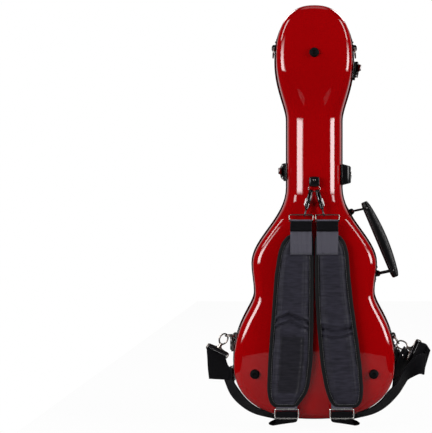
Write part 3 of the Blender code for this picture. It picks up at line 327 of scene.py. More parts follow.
@dataclass(frozen=True)
class Plated:
    """Nickel plate: polished metal with fine hairlines, handling haze and worn edges."""

    name: str
    colour: Colour
    worn: Colour
    roughness: float = 0.22

    def make(self) -> bpy.types.Material:
        """Builds the material.

        Returns:
            The material.
        """
        graph = MaterialGraph(self.name)
        haze = graph.noise(85.0, 4.0)
        lines = graph.noise(700.0, 2.0, graph.place((1.0, 1.0, 0.05)))
        edge = graph.edges(0.52, 0.62)
        return graph.surface(Base_Color=graph.mix(edge * (0.35 + haze * 0.5), self.colour, self.worn),
                             Metallic=1.0, Roughness=self.roughness + haze * 0.14 - 0.06,
                             Normal=graph.bump(lines, 0.000015))


@dataclass(frozen=True)
class Leather:
    """Black grained leather with creases between its pebbles and a dull sheen."""

    colour: Colour = (0.0016, 0.0016, 0.0020, 1.0)
    rubbed: Colour = (0.0075, 0.0075, 0.0085, 1.0)

    def make(self) -> bpy.types.Material:
        """Builds the material.

        Returns:
            The material.
        """
        graph = MaterialGraph("black_grained_leather")
        coords = graph.place()
        cells = graph.add("ShaderNodeTexVoronoi", {"feature": "DISTANCE_TO_EDGE"},
                          {"Vector": coords, "Scale": 520.0})
        pebble = graph.ramp(cells, (0.0, 0.0), (0.16, 1.0))
        creases = graph.noise(110.0, 4.0, coords)
        wear = graph.ramp(creases, (0.50, 0.0), (0.75, 1.0))
        return graph.surface(Base_Color=graph.mix(wear * 0.5, self.colour, self.rubbed),
                             Roughness=0.34 - wear * 0.08, Specular_IOR_Level=0.22,
                             Normal=graph.bump(pebble * 0.6 + creases * 0.6, 0.00014))


@dataclass(frozen=True)
class Cloth:
    """Plain woven cloth: crossed threads, slubs, soft creases and a sheen."""

    name: str
    colour: Colour
    light: Colour
    thread: float = 0.0009
    relief: float = 0.00010
    roughness: float = 0.62
    sheen: float = 0.10

    def make(self) -> bpy.types.Material:
        """Builds the material.

        Returns:
            The material.
        """
        graph = MaterialGraph(self.name)
        coords = graph.place()
        weave = graph.ribs(coords, "X", self.thread) * 0.5 + graph.ribs(coords, "Z", self.thread) * 0.5
        slubs = graph.ramp(graph.noise(60.0, 5.0, graph.place((1.0, 1.0, 6.0))), (0.30, 0.0), (0.80, 1.0))
        creases = graph.noise(22.0, 3.0, graph.place((1.0, 1.0, 2.4)))
        share = weave * 0.25 + slubs * 0.55 + creases * 0.20
        return graph.surface(Base_Color=graph.mix(share, self.colour, self.light),
                             Roughness=self.roughness - creases * 0.18, Sheen_Weight=self.sheen,
                             Sheen_Roughness=0.35, Specular_IOR_Level=0.12,
                             Normal=graph.bump(weave * 0.30 + slubs * 2.0 + creases * 8.0, self.relief))


@dataclass(frozen=True)
class MeshTape:
    """Black knitted mesh tape with rows of small holes."""

    colour: Colour = (0.0030, 0.0030, 0.0036, 1.0)
    thread: Colour = (0.016, 0.0155, 0.0195, 1.0)
    pitch: float = 0.0026

    def make(self) -> bpy.types.Material:
        """Builds the material.

        Returns:
            The material.
        """
        graph = MaterialGraph("black_mesh_tape")
        cells = graph.add("ShaderNodeTexVoronoi", {"feature": "F1"},
                          {"Vector": graph.place(), "Scale": 1.0 / self.pitch, "Randomness": 0.25})
        knots = graph.ramp(cells, (0.16, 1.0), (0.36, 0.0))
        return graph.surface(Base_Color=graph.mix(knots, self.colour, self.thread), Roughness=0.70,
                             Sheen_Weight=0.05, Specular_IOR_Level=0.12, Normal=graph.bump(knots, 0.00025))


@dataclass(frozen=True)
class Webbing:
    """Woven strap webbing: diagonal ribs that follow the strap, a firm edge and a satin finish, with paler streaks
    along the strap painted into its colour as painted sheen.

    The UV map runs across the strap and along it, in metres.
    """

    name: str = "black_strap_webbing"
    colour: Colour = (0.0012, 0.0012, 0.0015, 1.0)
    light: Colour = (0.0060, 0.0058, 0.0078, 1.0)
    rib: float = 0.0016
    roughness: float = 0.40

    def make(self) -> bpy.types.Material:
        """Builds the material.

        Returns:
            The material.
        """
        graph = MaterialGraph(self.name)
        left, right = (graph.ribs(graph.place(turn=(0.0, 0.0, lean), source="UV"), "Y", self.rib)
                       for lean in (math.radians(35.0), math.radians(-35.0)))
        weave = left * right
        # Streaks along the strap: the paler colour they give is painted sheen. They also make the webbing rougher.
        sheen_streaks = graph.noise(1.0, 3.0, graph.place((240.0, 14.0, 1.0), source="UV"))
        return graph.surface(Base_Color=graph.mix(weave * 0.6 + sheen_streaks * 0.4, self.colour, self.light),
                             Roughness=self.roughness + sheen_streaks * 0.12, Specular_IOR_Level=0.07,
                             Normal=graph.bump(weave, 0.00022))


@dataclass(frozen=True)
class Plush:
    """Short black pile with paler patches painted into its colour as painted sheen."""

    colour: Colour = (0.0080, 0.0080, 0.0095, 1.0)
    light: Colour = (0.026, 0.026, 0.030, 1.0)

    def make(self) -> bpy.types.Material:
        """Builds the material.

        Returns:
            The material.
        """
        graph = MaterialGraph("black_plush_pile")
        pile = graph.noise(1300.0, 3.0)
        # Paler patches of painted sheen.
        painted_sheen_patches = graph.noise(34.0, 3.0)
        return graph.surface(Base_Color=graph.mix(pile * 0.5 + painted_sheen_patches * 0.5, self.colour, self.light),
                             Roughness=0.88, Sheen_Weight=0.6, Sheen_Roughness=0.45,
                             Specular_IOR_Level=0.2, Normal=graph.bump(pile, 0.0004))


@dataclass(frozen=True)
class Thread:
    """Twisted sewing thread."""

    colour: Colour = (0.030, 0.030, 0.034, 1.0)
    light: Colour = (0.090, 0.088, 0.098, 1.0)

    def make(self) -> bpy.types.Material:
        """Builds the material.

        Returns:
            The material.
        """
        graph = MaterialGraph("twisted_thread")
        twist = graph.wave(graph.place(turn=(0.6, 0.6, 0.0)), "Z", 500.0)
        return graph.surface(Base_Color=graph.mix(twist, self.colour, self.light), Roughness=0.55,
                             Sheen_Weight=0.3, Normal=graph.bump(twist, 0.00008))


@dataclass(frozen=True)
class Finish:
    """A material and the record's slot that it fills."""

    material: bpy.types.Material
    slot: Slot

    def on(self, slot: Slot) -> "Finish":
        """The same material in another slot."""
        return Finish(self.material, slot)


class Palette:
    """Every finish, made once."""

    def __init__(self) -> None:
        """Builds the materials."""
        self.lacquer = Finish(Lacquer().make(), Slot.LACQUER)
        rubber = Moulded("black_rubber_seal", (0.0018, 0.0018, 0.0021, 1.0), roughness=0.60, shine=0.04)
        self.rubber = Finish(rubber.make(), Slot.RUBBER)
        plastic = Moulded("black_moulded_plastic", (0.0022, 0.0022, 0.0026, 1.0), (0.0120, 0.0120, 0.0130, 1.0), 0.22)
        self.plastic = Finish(plastic.make(), Slot.PLASTIC)
        dark = Plated("black_nickel_plate", (0.042, 0.039, 0.042, 1.0), (0.34, 0.31, 0.30, 1.0), 0.22)
        self.dark = Finish(dark.make(), Slot.DARK_NICKEL)
        bright = Plated("bright_nickel_plate", (0.80, 0.785, 0.76, 1.0), (0.92, 0.91, 0.90, 1.0), 0.26)
        self.bright = Finish(bright.make(), Slot.BRIGHT_NICKEL)
        smoked = Plated("smoked_nickel_wire", (0.20, 0.18, 0.165, 1.0), (0.62, 0.58, 0.54, 1.0), 0.17)
        self.smoked = Finish(smoked.make(), Slot.DARK_NICKEL)
        # Near-white rough nickel for the upper hooks' gates: the whiteness is a painted highlight.
        satin = Plated("satin_nickel_gate", (0.97, 0.96, 0.95, 1.0), (0.98, 0.98, 0.97, 1.0), 0.66)
        self.satin = Finish(satin.make(), Slot.BRIGHT_NICKEL)
        self.leather = Finish(Leather().make(), Slot.LEATHER)
        nylon = Cloth("charcoal_satin_nylon", (0.0048, 0.0046, 0.0072, 1.0), (0.034, 0.032, 0.048, 1.0))
        self.nylon = Finish(nylon.make(), Slot.NYLON)
        panel = Cloth("black_satin_panel", (0.0045, 0.0044, 0.0064, 1.0), (0.020, 0.019, 0.026, 1.0), roughness=0.5)
        self.panel = Finish(panel.make(), Slot.NYLON)
        self.tape = Finish(MeshTape().make(), Slot.NYLON)
        self.webbing = Finish(Webbing().make(), Slot.WEBBING)
        patch = Webbing("charcoal_strap_webbing", (0.022, 0.021, 0.029, 1.0), (0.150, 0.145, 0.180, 1.0), 0.0020, 0.50)
        self.patch = Finish(patch.make(), Slot.WEBBING)
        self.plush = Finish(Plush().make(), Slot.PLUSH)
        self.thread = Finish(Thread().make(), Slot.NYLON)


# ---------------------------------------------------------------- mesh tools

class Loft:
    """A skin grown ring by ring from one loop of points."""

    def __init__(self, ring: Sequence[Vector], closed: bool = True) -> None:
        """Starts the skin with its first loop.

        Args:
            ring: the loop's points in order.
            closed: whether the last point joins the first.
        """
        self.bm = bmesh.new()
        self.verts = [self.bm.verts.new(point) for point in ring]
        following = self.verts[1:] + (self.verts[:1] if closed else [])
        self.edges = [self.bm.edges.new(pair) for pair in zip(self.verts, following)]

    @classmethod
    def through(cls, rings: Sequence[Sequence[Vector]], closed: bool = True) -> "Loft":
        """A skin grown through all the rings.

        Args:
            rings: loops with the same number of points.
            closed: whether the last point of each joins the first.

        Returns:
            The loft.
        """
        loft = cls(rings[0], closed)
        for ring in rings[1:]:
            loft.grow(ring)
        return loft

    def grow(self, ring: Sequence[Vector]) -> None:
        """Extrudes the last loop to new points.

        Args:
            ring: as many points as the last loop has.
        """
        made = bmesh.ops.extrude_edge_only(self.bm, edges=self.edges)["geom"]
        fresh = {item for item in made if isinstance(item, bmesh.types.BMVert)}
        partners = []
        for vert, point in zip(self.verts, ring):
            partner = next(edge.other_vert(vert) for edge in vert.link_edges if edge.other_vert(vert) in fresh)
            partner.co = point
            partners.append(partner)
        self.verts = partners
        self.edges = [item for item in made
                      if isinstance(item, bmesh.types.BMEdge) and all(vert in fresh for vert in item.verts)]

    def cap(self) -> None:
        """Closes every open loop with a face."""
        bmesh.ops.holes_fill(self.bm, edges=[edge for edge in self.bm.edges if edge.is_boundary])

    def skin(self, facing: Vector | None = None) -> bmesh.types.BMesh:
        """Merges doubles and turns the faces outwards.

        Args:
            facing: for an open skin, a direction in which most of its faces must look.

        Returns:
            The finished bmesh.
        """
        bmesh.ops.remove_doubles(self.bm, verts=self.bm.verts, dist=2 * MERGE)
        bmesh.ops.recalc_face_normals(self.bm, faces=self.bm.faces)
        if facing is not None and sum(face.normal.dot(facing) * face.calc_area() for face in self.bm.faces) < 0:
            bmesh.ops.reverse_faces(self.bm, faces=self.bm.faces)
        return self.bm


def merged(node: str) -> bmesh.types.BMesh:
    """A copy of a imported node's triangles with its doubles merged.

    Args:
        node: the node's name.

    Returns:
        The shape.
    """
    bm = bmesh.new()
    bm.from_mesh(frame["nodes"][node].data)
    bmesh.ops.remove_doubles(bm, verts=bm.verts, dist=MERGE)
    return bm


def softened(node: str, width: float, segments: int = 2) -> bmesh.types.BMesh:
    """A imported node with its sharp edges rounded.

    Args:
        node: the node's name.
        width: how wide the rounding is.
        segments: its steps.

    Returns:
        The shape.
    """
    bm = merged(node)
    bmesh.ops.dissolve_limit(bm, angle_limit=math.radians(3.0), verts=bm.verts, edges=bm.edges)
    edges = [edge for edge in bm.edges if edge.is_manifold and edge.calc_face_angle() > math.radians(28.0)]
    bmesh.ops.bevel(bm, geom=edges, offset=width, offset_type="OFFSET", affect="EDGES", segments=segments,
                    profile=0.5, material=-1, clamp_overlap=True)
    return bm


def block(size: Sequence[float], edge: float = 0.0, segments: int = 2) -> bmesh.types.BMesh:
    """A box about the origin, its edges rounded where edge is above 0.

    Args:
        size: along X, Y and Z.
        edge: the rounding's width.
        segments: the rounding's steps.

    Returns:
        The shape.
    """
    bm = bmesh.new()
    bmesh.ops.create_cube(bm, size=1.0)
    bmesh.ops.scale(bm, vec=size, verts=bm.verts)
    if edge:
        bmesh.ops.bevel(bm, geom=bm.edges, offset=edge, offset_type="OFFSET", affect="EDGES", segments=segments,
                        profile=0.5, material=-1)
    return bm


def turned(profile: Sequence[tuple[float, float]], steps: int) -> bmesh.types.BMesh:
    """A closed solid spun about its Z axis from (radius, height) pairs.

    Args:
        profile: the pairs, in order.
        steps: how many facets go round.

    Returns:
        The shape.
    """
    bm = bmesh.new()
    verts = [bm.verts.new((radius, 0.0, height)) for radius, height in profile]
    edges = [bm.edges.new(pair) for pair in zip(verts, verts[1:])]
    bmesh.ops.spin(bm, geom=verts + edges, cent=(0, 0, 0), axis=(0, 0, 1), angle=math.tau, steps=steps,
                   use_merge=True)
    bmesh.ops.remove_doubles(bm, verts=bm.verts, dist=MERGE)
    bmesh.ops.recalc_face_normals(bm, faces=bm.faces)
    return bm


def tube(path: Sequence[Vector], radius: float) -> bmesh.types.BMesh:
    """A round closed-ended thread through points.

    Args:
        path: the points in order.
        radius: the thread's radius.

    Returns:
        The shape.
    """
    line = bpy.data.curves.new("wire", "CURVE")
    line.dimensions = "3D"
    line.bevel_depth = radius
    line.bevel_resolution = 1
    line.use_fill_caps = True
    spline = line.splines.new("POLY")
    spline.points.add(len(path) - 1)
    for point, spot in zip(spline.points, path):
        point.co = (*spot, 1.0)
    holder = bpy.data.objects.new("wire", line)
    bpy.context.scene.collection.objects.link(holder)
    bpy.context.view_layer.update()
    data = bpy.data.meshes.new_from_object(holder.evaluated_get(bpy.context.evaluated_depsgraph_get()))
    bpy.data.objects.remove(holder)
    bm = bmesh.new()
    bm.from_mesh(data)
    bpy.data.meshes.remove(data)
    bmesh.ops.remove_doubles(bm, verts=bm.verts, dist=MERGE)
    bmesh.ops.recalc_face_normals(bm, faces=bm.faces)
    return bm


def stitch(middle: Vector, along: Vector, lift: Vector, radius: float) -> bmesh.types.BMesh:
    """One bowed stitch: along reaches from its middle to an end, and lift raises its middle over its ends."""
    return tube([middle - along - lift, middle + lift, middle + along - lift], radius)


def joined(parts: Iterable[bmesh.types.BMesh]) -> bmesh.types.BMesh:
    """One bmesh from several, which are freed.

    Args:
        parts: the shapes to join.

    Returns:
        The whole.
    """
    whole = bmesh.new()
    for part in parts:
        data = bpy.data.meshes.new("part")
        part.to_mesh(data)
        part.free()
        whole.from_mesh(data)
        bpy.data.meshes.remove(data)
    return whole


def moved(bm: bmesh.types.BMesh, matrix: Matrix) -> bmesh.types.BMesh:
    """Moves a shape by a matrix."""
    bmesh.ops.transform(bm, matrix=matrix, verts=bm.verts)
    return bm


def seated(bm: bmesh.types.BMesh, point: Vector, normal: Vector, turn: float = 0.0) -> bmesh.types.BMesh:
    """Moves a shape that stands on the XY plane to a point, its Z axis along a normal."""
    matrix = Matrix.Translation(point) @ normal.to_track_quat("Z", "Y").to_matrix().to_4x4()
    return moved(bm, matrix @ Matrix.Rotation(turn, 4, "Z"))


def axes_at(origin: Vector, x: Vector, y: Vector, z: Vector) -> Matrix:
    """The matrix of a frame with the given origin and axes.

    Args:
        origin: the frame's origin.
        x: its X axis.
        y: its Y axis.
        z: its Z axis.

    Returns:
        The matrix.
    """
    matrix = Matrix.Translation(origin)
    for column, axis in enumerate((x, y, z)):
        matrix.col[column].xyz = axis
    return matrix


def smooth_path(points: Sequence[Vector], steps: int) -> list[Vector]:
    """Points of a curve through the given points, steps to each span.

    Args:
        points: what the curve passes through.
        steps: how finely each span is cut.

    Returns:
        The curve's points.
    """
    ends = [points[0] * 2 - points[1], *points, points[-1] * 2 - points[-2]]
    curve = []
    for before, start, end, after in zip(ends, ends[1:], ends[2:], ends[3:]):
        span = interpolate_bezier(start, start + (end - before) / 6, end - (after - start) / 6, end, steps + 1)
        curve += [Vector(point) for point in span[:-1]]
    return curve + [points[-1].copy()]


def middle_of(node: str) -> Vector:
    """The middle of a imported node's box."""
    low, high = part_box(node)
    return (low + high) / 2


# ---------------------------------------------------------------- pieces

def place(name: str, bm: bmesh.types.BMesh, finish: Finish, body: str = BASE, nodes: Iterable[str] = (),
          sharp: float = 40.0) -> bpy.types.Object:
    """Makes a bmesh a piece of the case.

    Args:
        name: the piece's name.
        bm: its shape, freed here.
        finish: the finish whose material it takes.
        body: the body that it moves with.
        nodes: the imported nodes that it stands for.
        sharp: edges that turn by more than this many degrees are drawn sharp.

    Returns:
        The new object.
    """
    data = bpy.data.meshes.new(name)
    bm.to_mesh(data)
    bm.free()
    data.shade_smooth()
    data.set_sharp_from_angle(angle=math.radians(sharp))
    data.materials.append(finish.material)
    piece = bpy.data.objects.new(name, data)
    bpy.context.scene.collection.objects.link(piece)
    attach(piece, body)
    if nodes:
        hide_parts(*nodes)
    LOG.info("%s: %d faces on %s", name, len(data.polygons), body)
    return piece


def dress(name: str, node: str, edge: float, finish: Finish, body: str = BASE, segments: int = 2) -> None:
    """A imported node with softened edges, as a piece."""
    place(name, softened(node, edge, segments), finish, body, [node])


def rounded(piece: bpy.types.Object, levels: int) -> None:
    """Subdivides a piece's surface."""
    smooth = piece.modifiers.new("round", "SUBSURF")
    smooth.levels = smooth.render_levels = levels


def walled(piece: bpy.types.Object, thickness: float, offset: float) -> None:
    """Gives an open skin its wall."""
    wall = piece.modifiers.new("wall", "SOLIDIFY")
    wall.thickness, wall.offset = thickness, offset


def screw(radius: float) -> bmesh.types.BMesh:
    """A domed screw head on the XY plane, with a cross in it.

    Args:
        radius: the head's radius.

    Returns:
        The shape.
    """
    r, h = radius, radius * 0.5
    head = turned([(0.0, h), (r * 0.45, h * 0.94), (r * 0.80, h * 0.62), (r, h * 0.15), (r, -h * 0.4),
                   (0.0, -h * 0.4)], 16)
    blades = [moved(block((r * 1.1, r * 0.20, h * 0.30)),
                    Matrix.Translation((0.0, 0.0, h * 0.90)) @ Matrix.Rotation(turn, 4, "Z"))
              for turn in (0.0, math.pi / 2)]
    return joined([head, *blades])


# ---------------------------------------------------------------- the case's form

@dataclass(frozen=True)
class Section:
    """A shell's depth, fillet radius and crown, each as (body, neck, head)."""

    depth: Triple
    fillet: Triple
    crown: Triple


@dataclass(frozen=True)
class CaseForm:
    """Outline and sections of the closed case.

    spine_ends are how far the ridge of the crown stops short of the flat back's foot and top, bends hold how
    far each curve of the outline leaves and arrives straight, as shares of its rise, and its number of steps.
    """

    seam_y: float
    foot: float
    height: float
    lower_bout: tuple[float, float] = (0.1470, 0.103)
    waist: tuple[float, float] = (0.109, 0.228)
    upper_bout: tuple[float, float] = (0.1135, 0.280)
    neck_half: float = 0.0503
    neck_low: float = 0.418
    neck_drop: float = 0.206
    head_half: float = 0.0715
    head_drop: float = 0.098
    roundness: tuple[float, float] = (2.35, 2.38)
    base: Section = Section((0.079, 0.062, 0.078), (0.018, 0.037, 0.0175), (0.006, 0.002, 0.006))
    lid: Section = Section((0.042, 0.043, 0.042), (0.024, 0.022, 0.024), (0.005, 0.002, 0.005))
    slope: float = 0.065
    band: float = 0.009
    shoulder: tuple[float, float] = (0.350, 0.408)
    nape_drops: tuple[float, float] = (0.220, 0.110)
    spine_ends: tuple[float, float] = (0.050, 0.032)
    wall: float = 0.003
    bends: ClassVar = ((0.576, 0.200, 16), (0.327, 0.327, 7), (0.326, 0.406, 16), (0.311, 0.311, 6),
                       (0.231, 0.463, 14))
    fillet_steps: ClassVar = 10
    crown_shares: ClassVar = (0.06, 0.13, 0.22, 0.34, 0.5, 0.75, 1.0)

    @classmethod
    def from_frame(cls) -> "CaseForm":
        """Takes the case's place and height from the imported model."""
        low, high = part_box("base_shell")
        hinge = next(joint for joint in frame["joints"] if joint["name"] == "lid_hinge")
        return cls(seam_y=hinge["pos_m"][1], foot=low.z, height=high.z - low.z)

    def world(self, x: float, depth: float, height: float) -> Vector:
        """A point of the case's frame in the world."""
        return Vector((x, self.seam_y + depth, self.foot + height))

    def along(self, stations: Triple, z: float) -> float:
        """A section value at a height.

        Args:
            stations: its values at the body, the neck and the head.
            z: the height.

        Returns:
            The value there.
        """
        def eased(low: float, high: float) -> float:
            """0 below low, 1 above high."""
            share = min(max((z - low) / (high - low), 0.0), 1.0)
            return share * share * (3.0 - 2.0 * share)

        body, neck, head = stations
        low, high = (self.height - drop for drop in self.nape_drops)
        return body + (neck - body) * eased(*self.shoulder) + (head - neck) * eased(low, high)

    def half_outline(self) -> list[Vector]:
        """The right half of the outline, from the bottom centre to the top centre.

        Returns:
            The points as (half width, height).
        """
        foot_power, head_power = (2 / value for value in self.roundness)
        half, level = self.lower_bout
        points = []
        for k in range(24):
            angle = math.pi / 2 * k / 24
            points.append(Vector((half * math.sin(angle) ** foot_power, level * (1 - math.cos(angle) ** foot_power))))
        knots = (self.lower_bout, self.waist, self.upper_bout, (self.neck_half, self.neck_low),
                 (self.neck_half, self.height - self.neck_drop), (self.head_half, self.height - self.head_drop))
        for start, end, (leave, arrive, steps) in zip(knots, knots[1:], self.bends):
            rise = end[1] - start[1]
            bend = interpolate_bezier(Vector(start), Vector((start[0], start[1] + leave * rise)),
                                      Vector((end[0], end[1] - arrive * rise)), Vector(end), steps + 1)
            points += [Vector(point[:2]) for point in bend[:-1]]
        for k in range(21):
            angle = math.pi / 2 * k / 20
            points.append(Vector((self.head_half * max(math.cos(angle), 0.0) ** head_power,
                                  self.height - self.head_drop + self.head_drop * math.sin(angle) ** head_power)))
        points[-1].x = 0.0
        return points

    def outline(self) -> list[tuple[Vector, Vector]]:
        """The whole outline.

        Returns:
            (point, outward offset direction) pairs.
        """
        half = self.half_outline()
        loop = half + [Vector((-point.x, point.y)) for point in half[-2:0:-1]]
        pairs = []
        for k, point in enumerate(loop):
            ahead = (loop[(k + 1) % len(loop)] - point).normalized()
            behind = (point - loop[k - 1]).normalized()
            first, second = Vector((ahead.y, -ahead.x)), Vector((behind.y, -behind.x))
            pairs.append((point, (first + second) / (1.0 + first.dot(second))))
        return pairs

    def ring(self, out: float, depth: float) -> list[Vector]:
        """The outline moved outwards by out, at one depth."""
        return [self.world(point.x + miter.x * out, depth, point.y + miter.y * out)
                for point, miter in self.outline()]

    def inset(self, section: Section, z: float, angle: float, below: float = 0.0) -> float:
        """How far a skin lies inside the outline, at an angle from the wall up its fillet."""
        level, radius = self.along(section.depth, z), self.along(section.fillet, z)
        return self.slope * (level - radius - self.band) + below + (radius - below) * (1 - math.cos(angle))

    def shell(self, side: int, start: float, below: float = 0.0) -> bmesh.types.BMesh:
        """A shell's outer skin, or one that lies a distance below it.

        Args:
            side: 1 for the base, -1 for the lid.
            start: the depth of its edge.
            below: how far inside the outer skin it lies.

        Returns:
            The open skin, facing out.
        """
        section = self.base if side > 0 else self.lid
        pairs = self.outline()
        loft = Loft(self.ring(-below, side * start))
        loft.grow(self.ring(-below, side * max(self.band, start + 0.001)))
        rim = [point - miter * self.inset(section, point.y, math.pi / 2) for point, miter in pairs]
        heights = [point.y for point in rim]
        low, high = min(heights), max(heights)
        foot, top = self.spine_ends
        spine = [low + foot + (z - low) / (high - low) * (high - low - foot - top) for z in heights]
        tilts = [math.atan2(2 * self.along(section.crown, point.y), (point - Vector((0.0, middle))).length)
                 for point, middle in zip(rim, spine)]
        flat = []
        for step in range(self.fillet_steps + 1):
            for _ in range(2):
                flat = []
                for (point, miter), z, tilt in zip(pairs, heights, tilts):
                    level, radius = self.along(section.depth, z), self.along(section.fillet, z)
                    angle = (math.pi / 2 - tilt) * step / self.fillet_steps
                    spot = point - miter * self.inset(section, z, angle, below)
                    flat.append((spot.x, level - radius + (radius - below) * math.sin(angle), spot.y))
                heights = [z for _, _, z in flat]
            loft.grow([self.world(x, side * y, z) for x, y, z in flat])
        for share in self.crown_shares:
            ring = []
            for (x, y, z), middle in zip(flat, spine):
                height = z * (1 - share) + middle * share
                peak = self.along(section.depth, height) + self.along(section.crown, height) - below
                edge = y + self.along(section.depth, height) - self.along(section.depth, z)
                ring.append(self.world(x * (1 - share), side * (peak - (peak - edge) * (1 - share) ** 2), height))
            loft.grow(ring)
        return loft.skin(Vector((0.0, float(side), 0.0)))

    def side_point(self, height: float) -> tuple[Vector, Vector]:
        """The outline's point and unit direction at a height on the +X side.

        Args:
            height: a height in the case's frame.

        Returns:
            The point and the direction.
        """
        half = self.half_outline()
        for start, end in zip(half, half[1:]):
            if start.y <= height < end.y:
                return start.lerp(end, (height - start.y) / (end.y - start.y)), (end - start).normalized()
        raise ValueError(f"no outline at {height}")

    def wall_frame(self, side: int, height: float) -> Matrix:
        """A frame in a side wall's face: origin on the seam plane, X outwards, Y to the back.

        Args:
            side: 1 for +X, -1 for -X.
            height: a height in the case's frame.

        Returns:
            The frame's matrix.
        """
        point, direction = self.side_point(height)
        outward = Vector((side * direction.y, self.slope, -direction.x)).normalized()
        back = Vector((side * direction.x, 0.0, direction.y)).cross(outward) * side
        lead = Vector((side * direction.y, 0.0, -direction.x)) * self.slope * self.band
        origin = self.world(side * point.x, 0.0, point.y) + lead
        return axes_at(origin, outward, back, outward.cross(back))


# ---------------------------------------------------------------- shells, seals and linings

@dataclass
class Shells:
    """The two lacquered shells, their rubber seals, plush linings and the neck cradle.

    seal holds the seal's section: a channel with a groove along its outer face, as (distance out, depth).
    """

    form: CaseForm
    palette: Palette
    edge: float = 0.0023
    lining_edge: float = 0.0105
    lining: float = 0.006
    lining_gap: float = 0.0012
    seal: ClassVar = ((0.0004, 0.0076), (0.0012, 0.0078), (0.0017, 0.0073), (0.0019, 0.0052), (0.0014, 0.0046),
                      (0.0019, 0.0040), (0.0019, 0.0012), (0.0014, 0.0004), (-0.0041, 0.0004), (-0.0046, 0.0010),
                      (-0.0046, 0.0070), (-0.0040, 0.0076), (-0.0034, 0.0070), (-0.0034, 0.0018), (0.0004, 0.0018))

    def build(self) -> BVHTree:
        """Builds every piece.

        Returns:
            The back's surface, for seating hardware on it.
        """
        below = self.form.wall + self.lining_gap + self.lining
        back = self.form.shell(1, self.edge)
        tree = BVHTree.FromBMesh(back)
        for side, name, body, bm in ((1, "base", BASE, back), (-1, "lid", "lid", self.form.shell(-1, self.edge))):
            shell = place(f"{name}_lacquer_shell", bm, self.palette.lacquer, body, [f"{name}_shell"])
            walled(shell, self.form.wall, -1.0)
            rings = [self.form.ring(out, side * depth) for out, depth in self.seal + self.seal[:1]]
            place(f"{name}_rubber_seal", Loft.through(rings).skin(), self.palette.rubber, body, [f"{name}_rim"], 50.0)
            lining = self.form.shell(side, self.lining_edge, below)
            plush = place(f"{name}_plush_lining", lining, self.palette.plush, body, [f"{name}_lining"])
            walled(plush, self.lining, 1.0)
        dress("neck_cradle_pad", "neck_cradle", 0.0022, self.palette.plush, segments=3)
        return tree


# ---------------------------------------------------------------- hardware

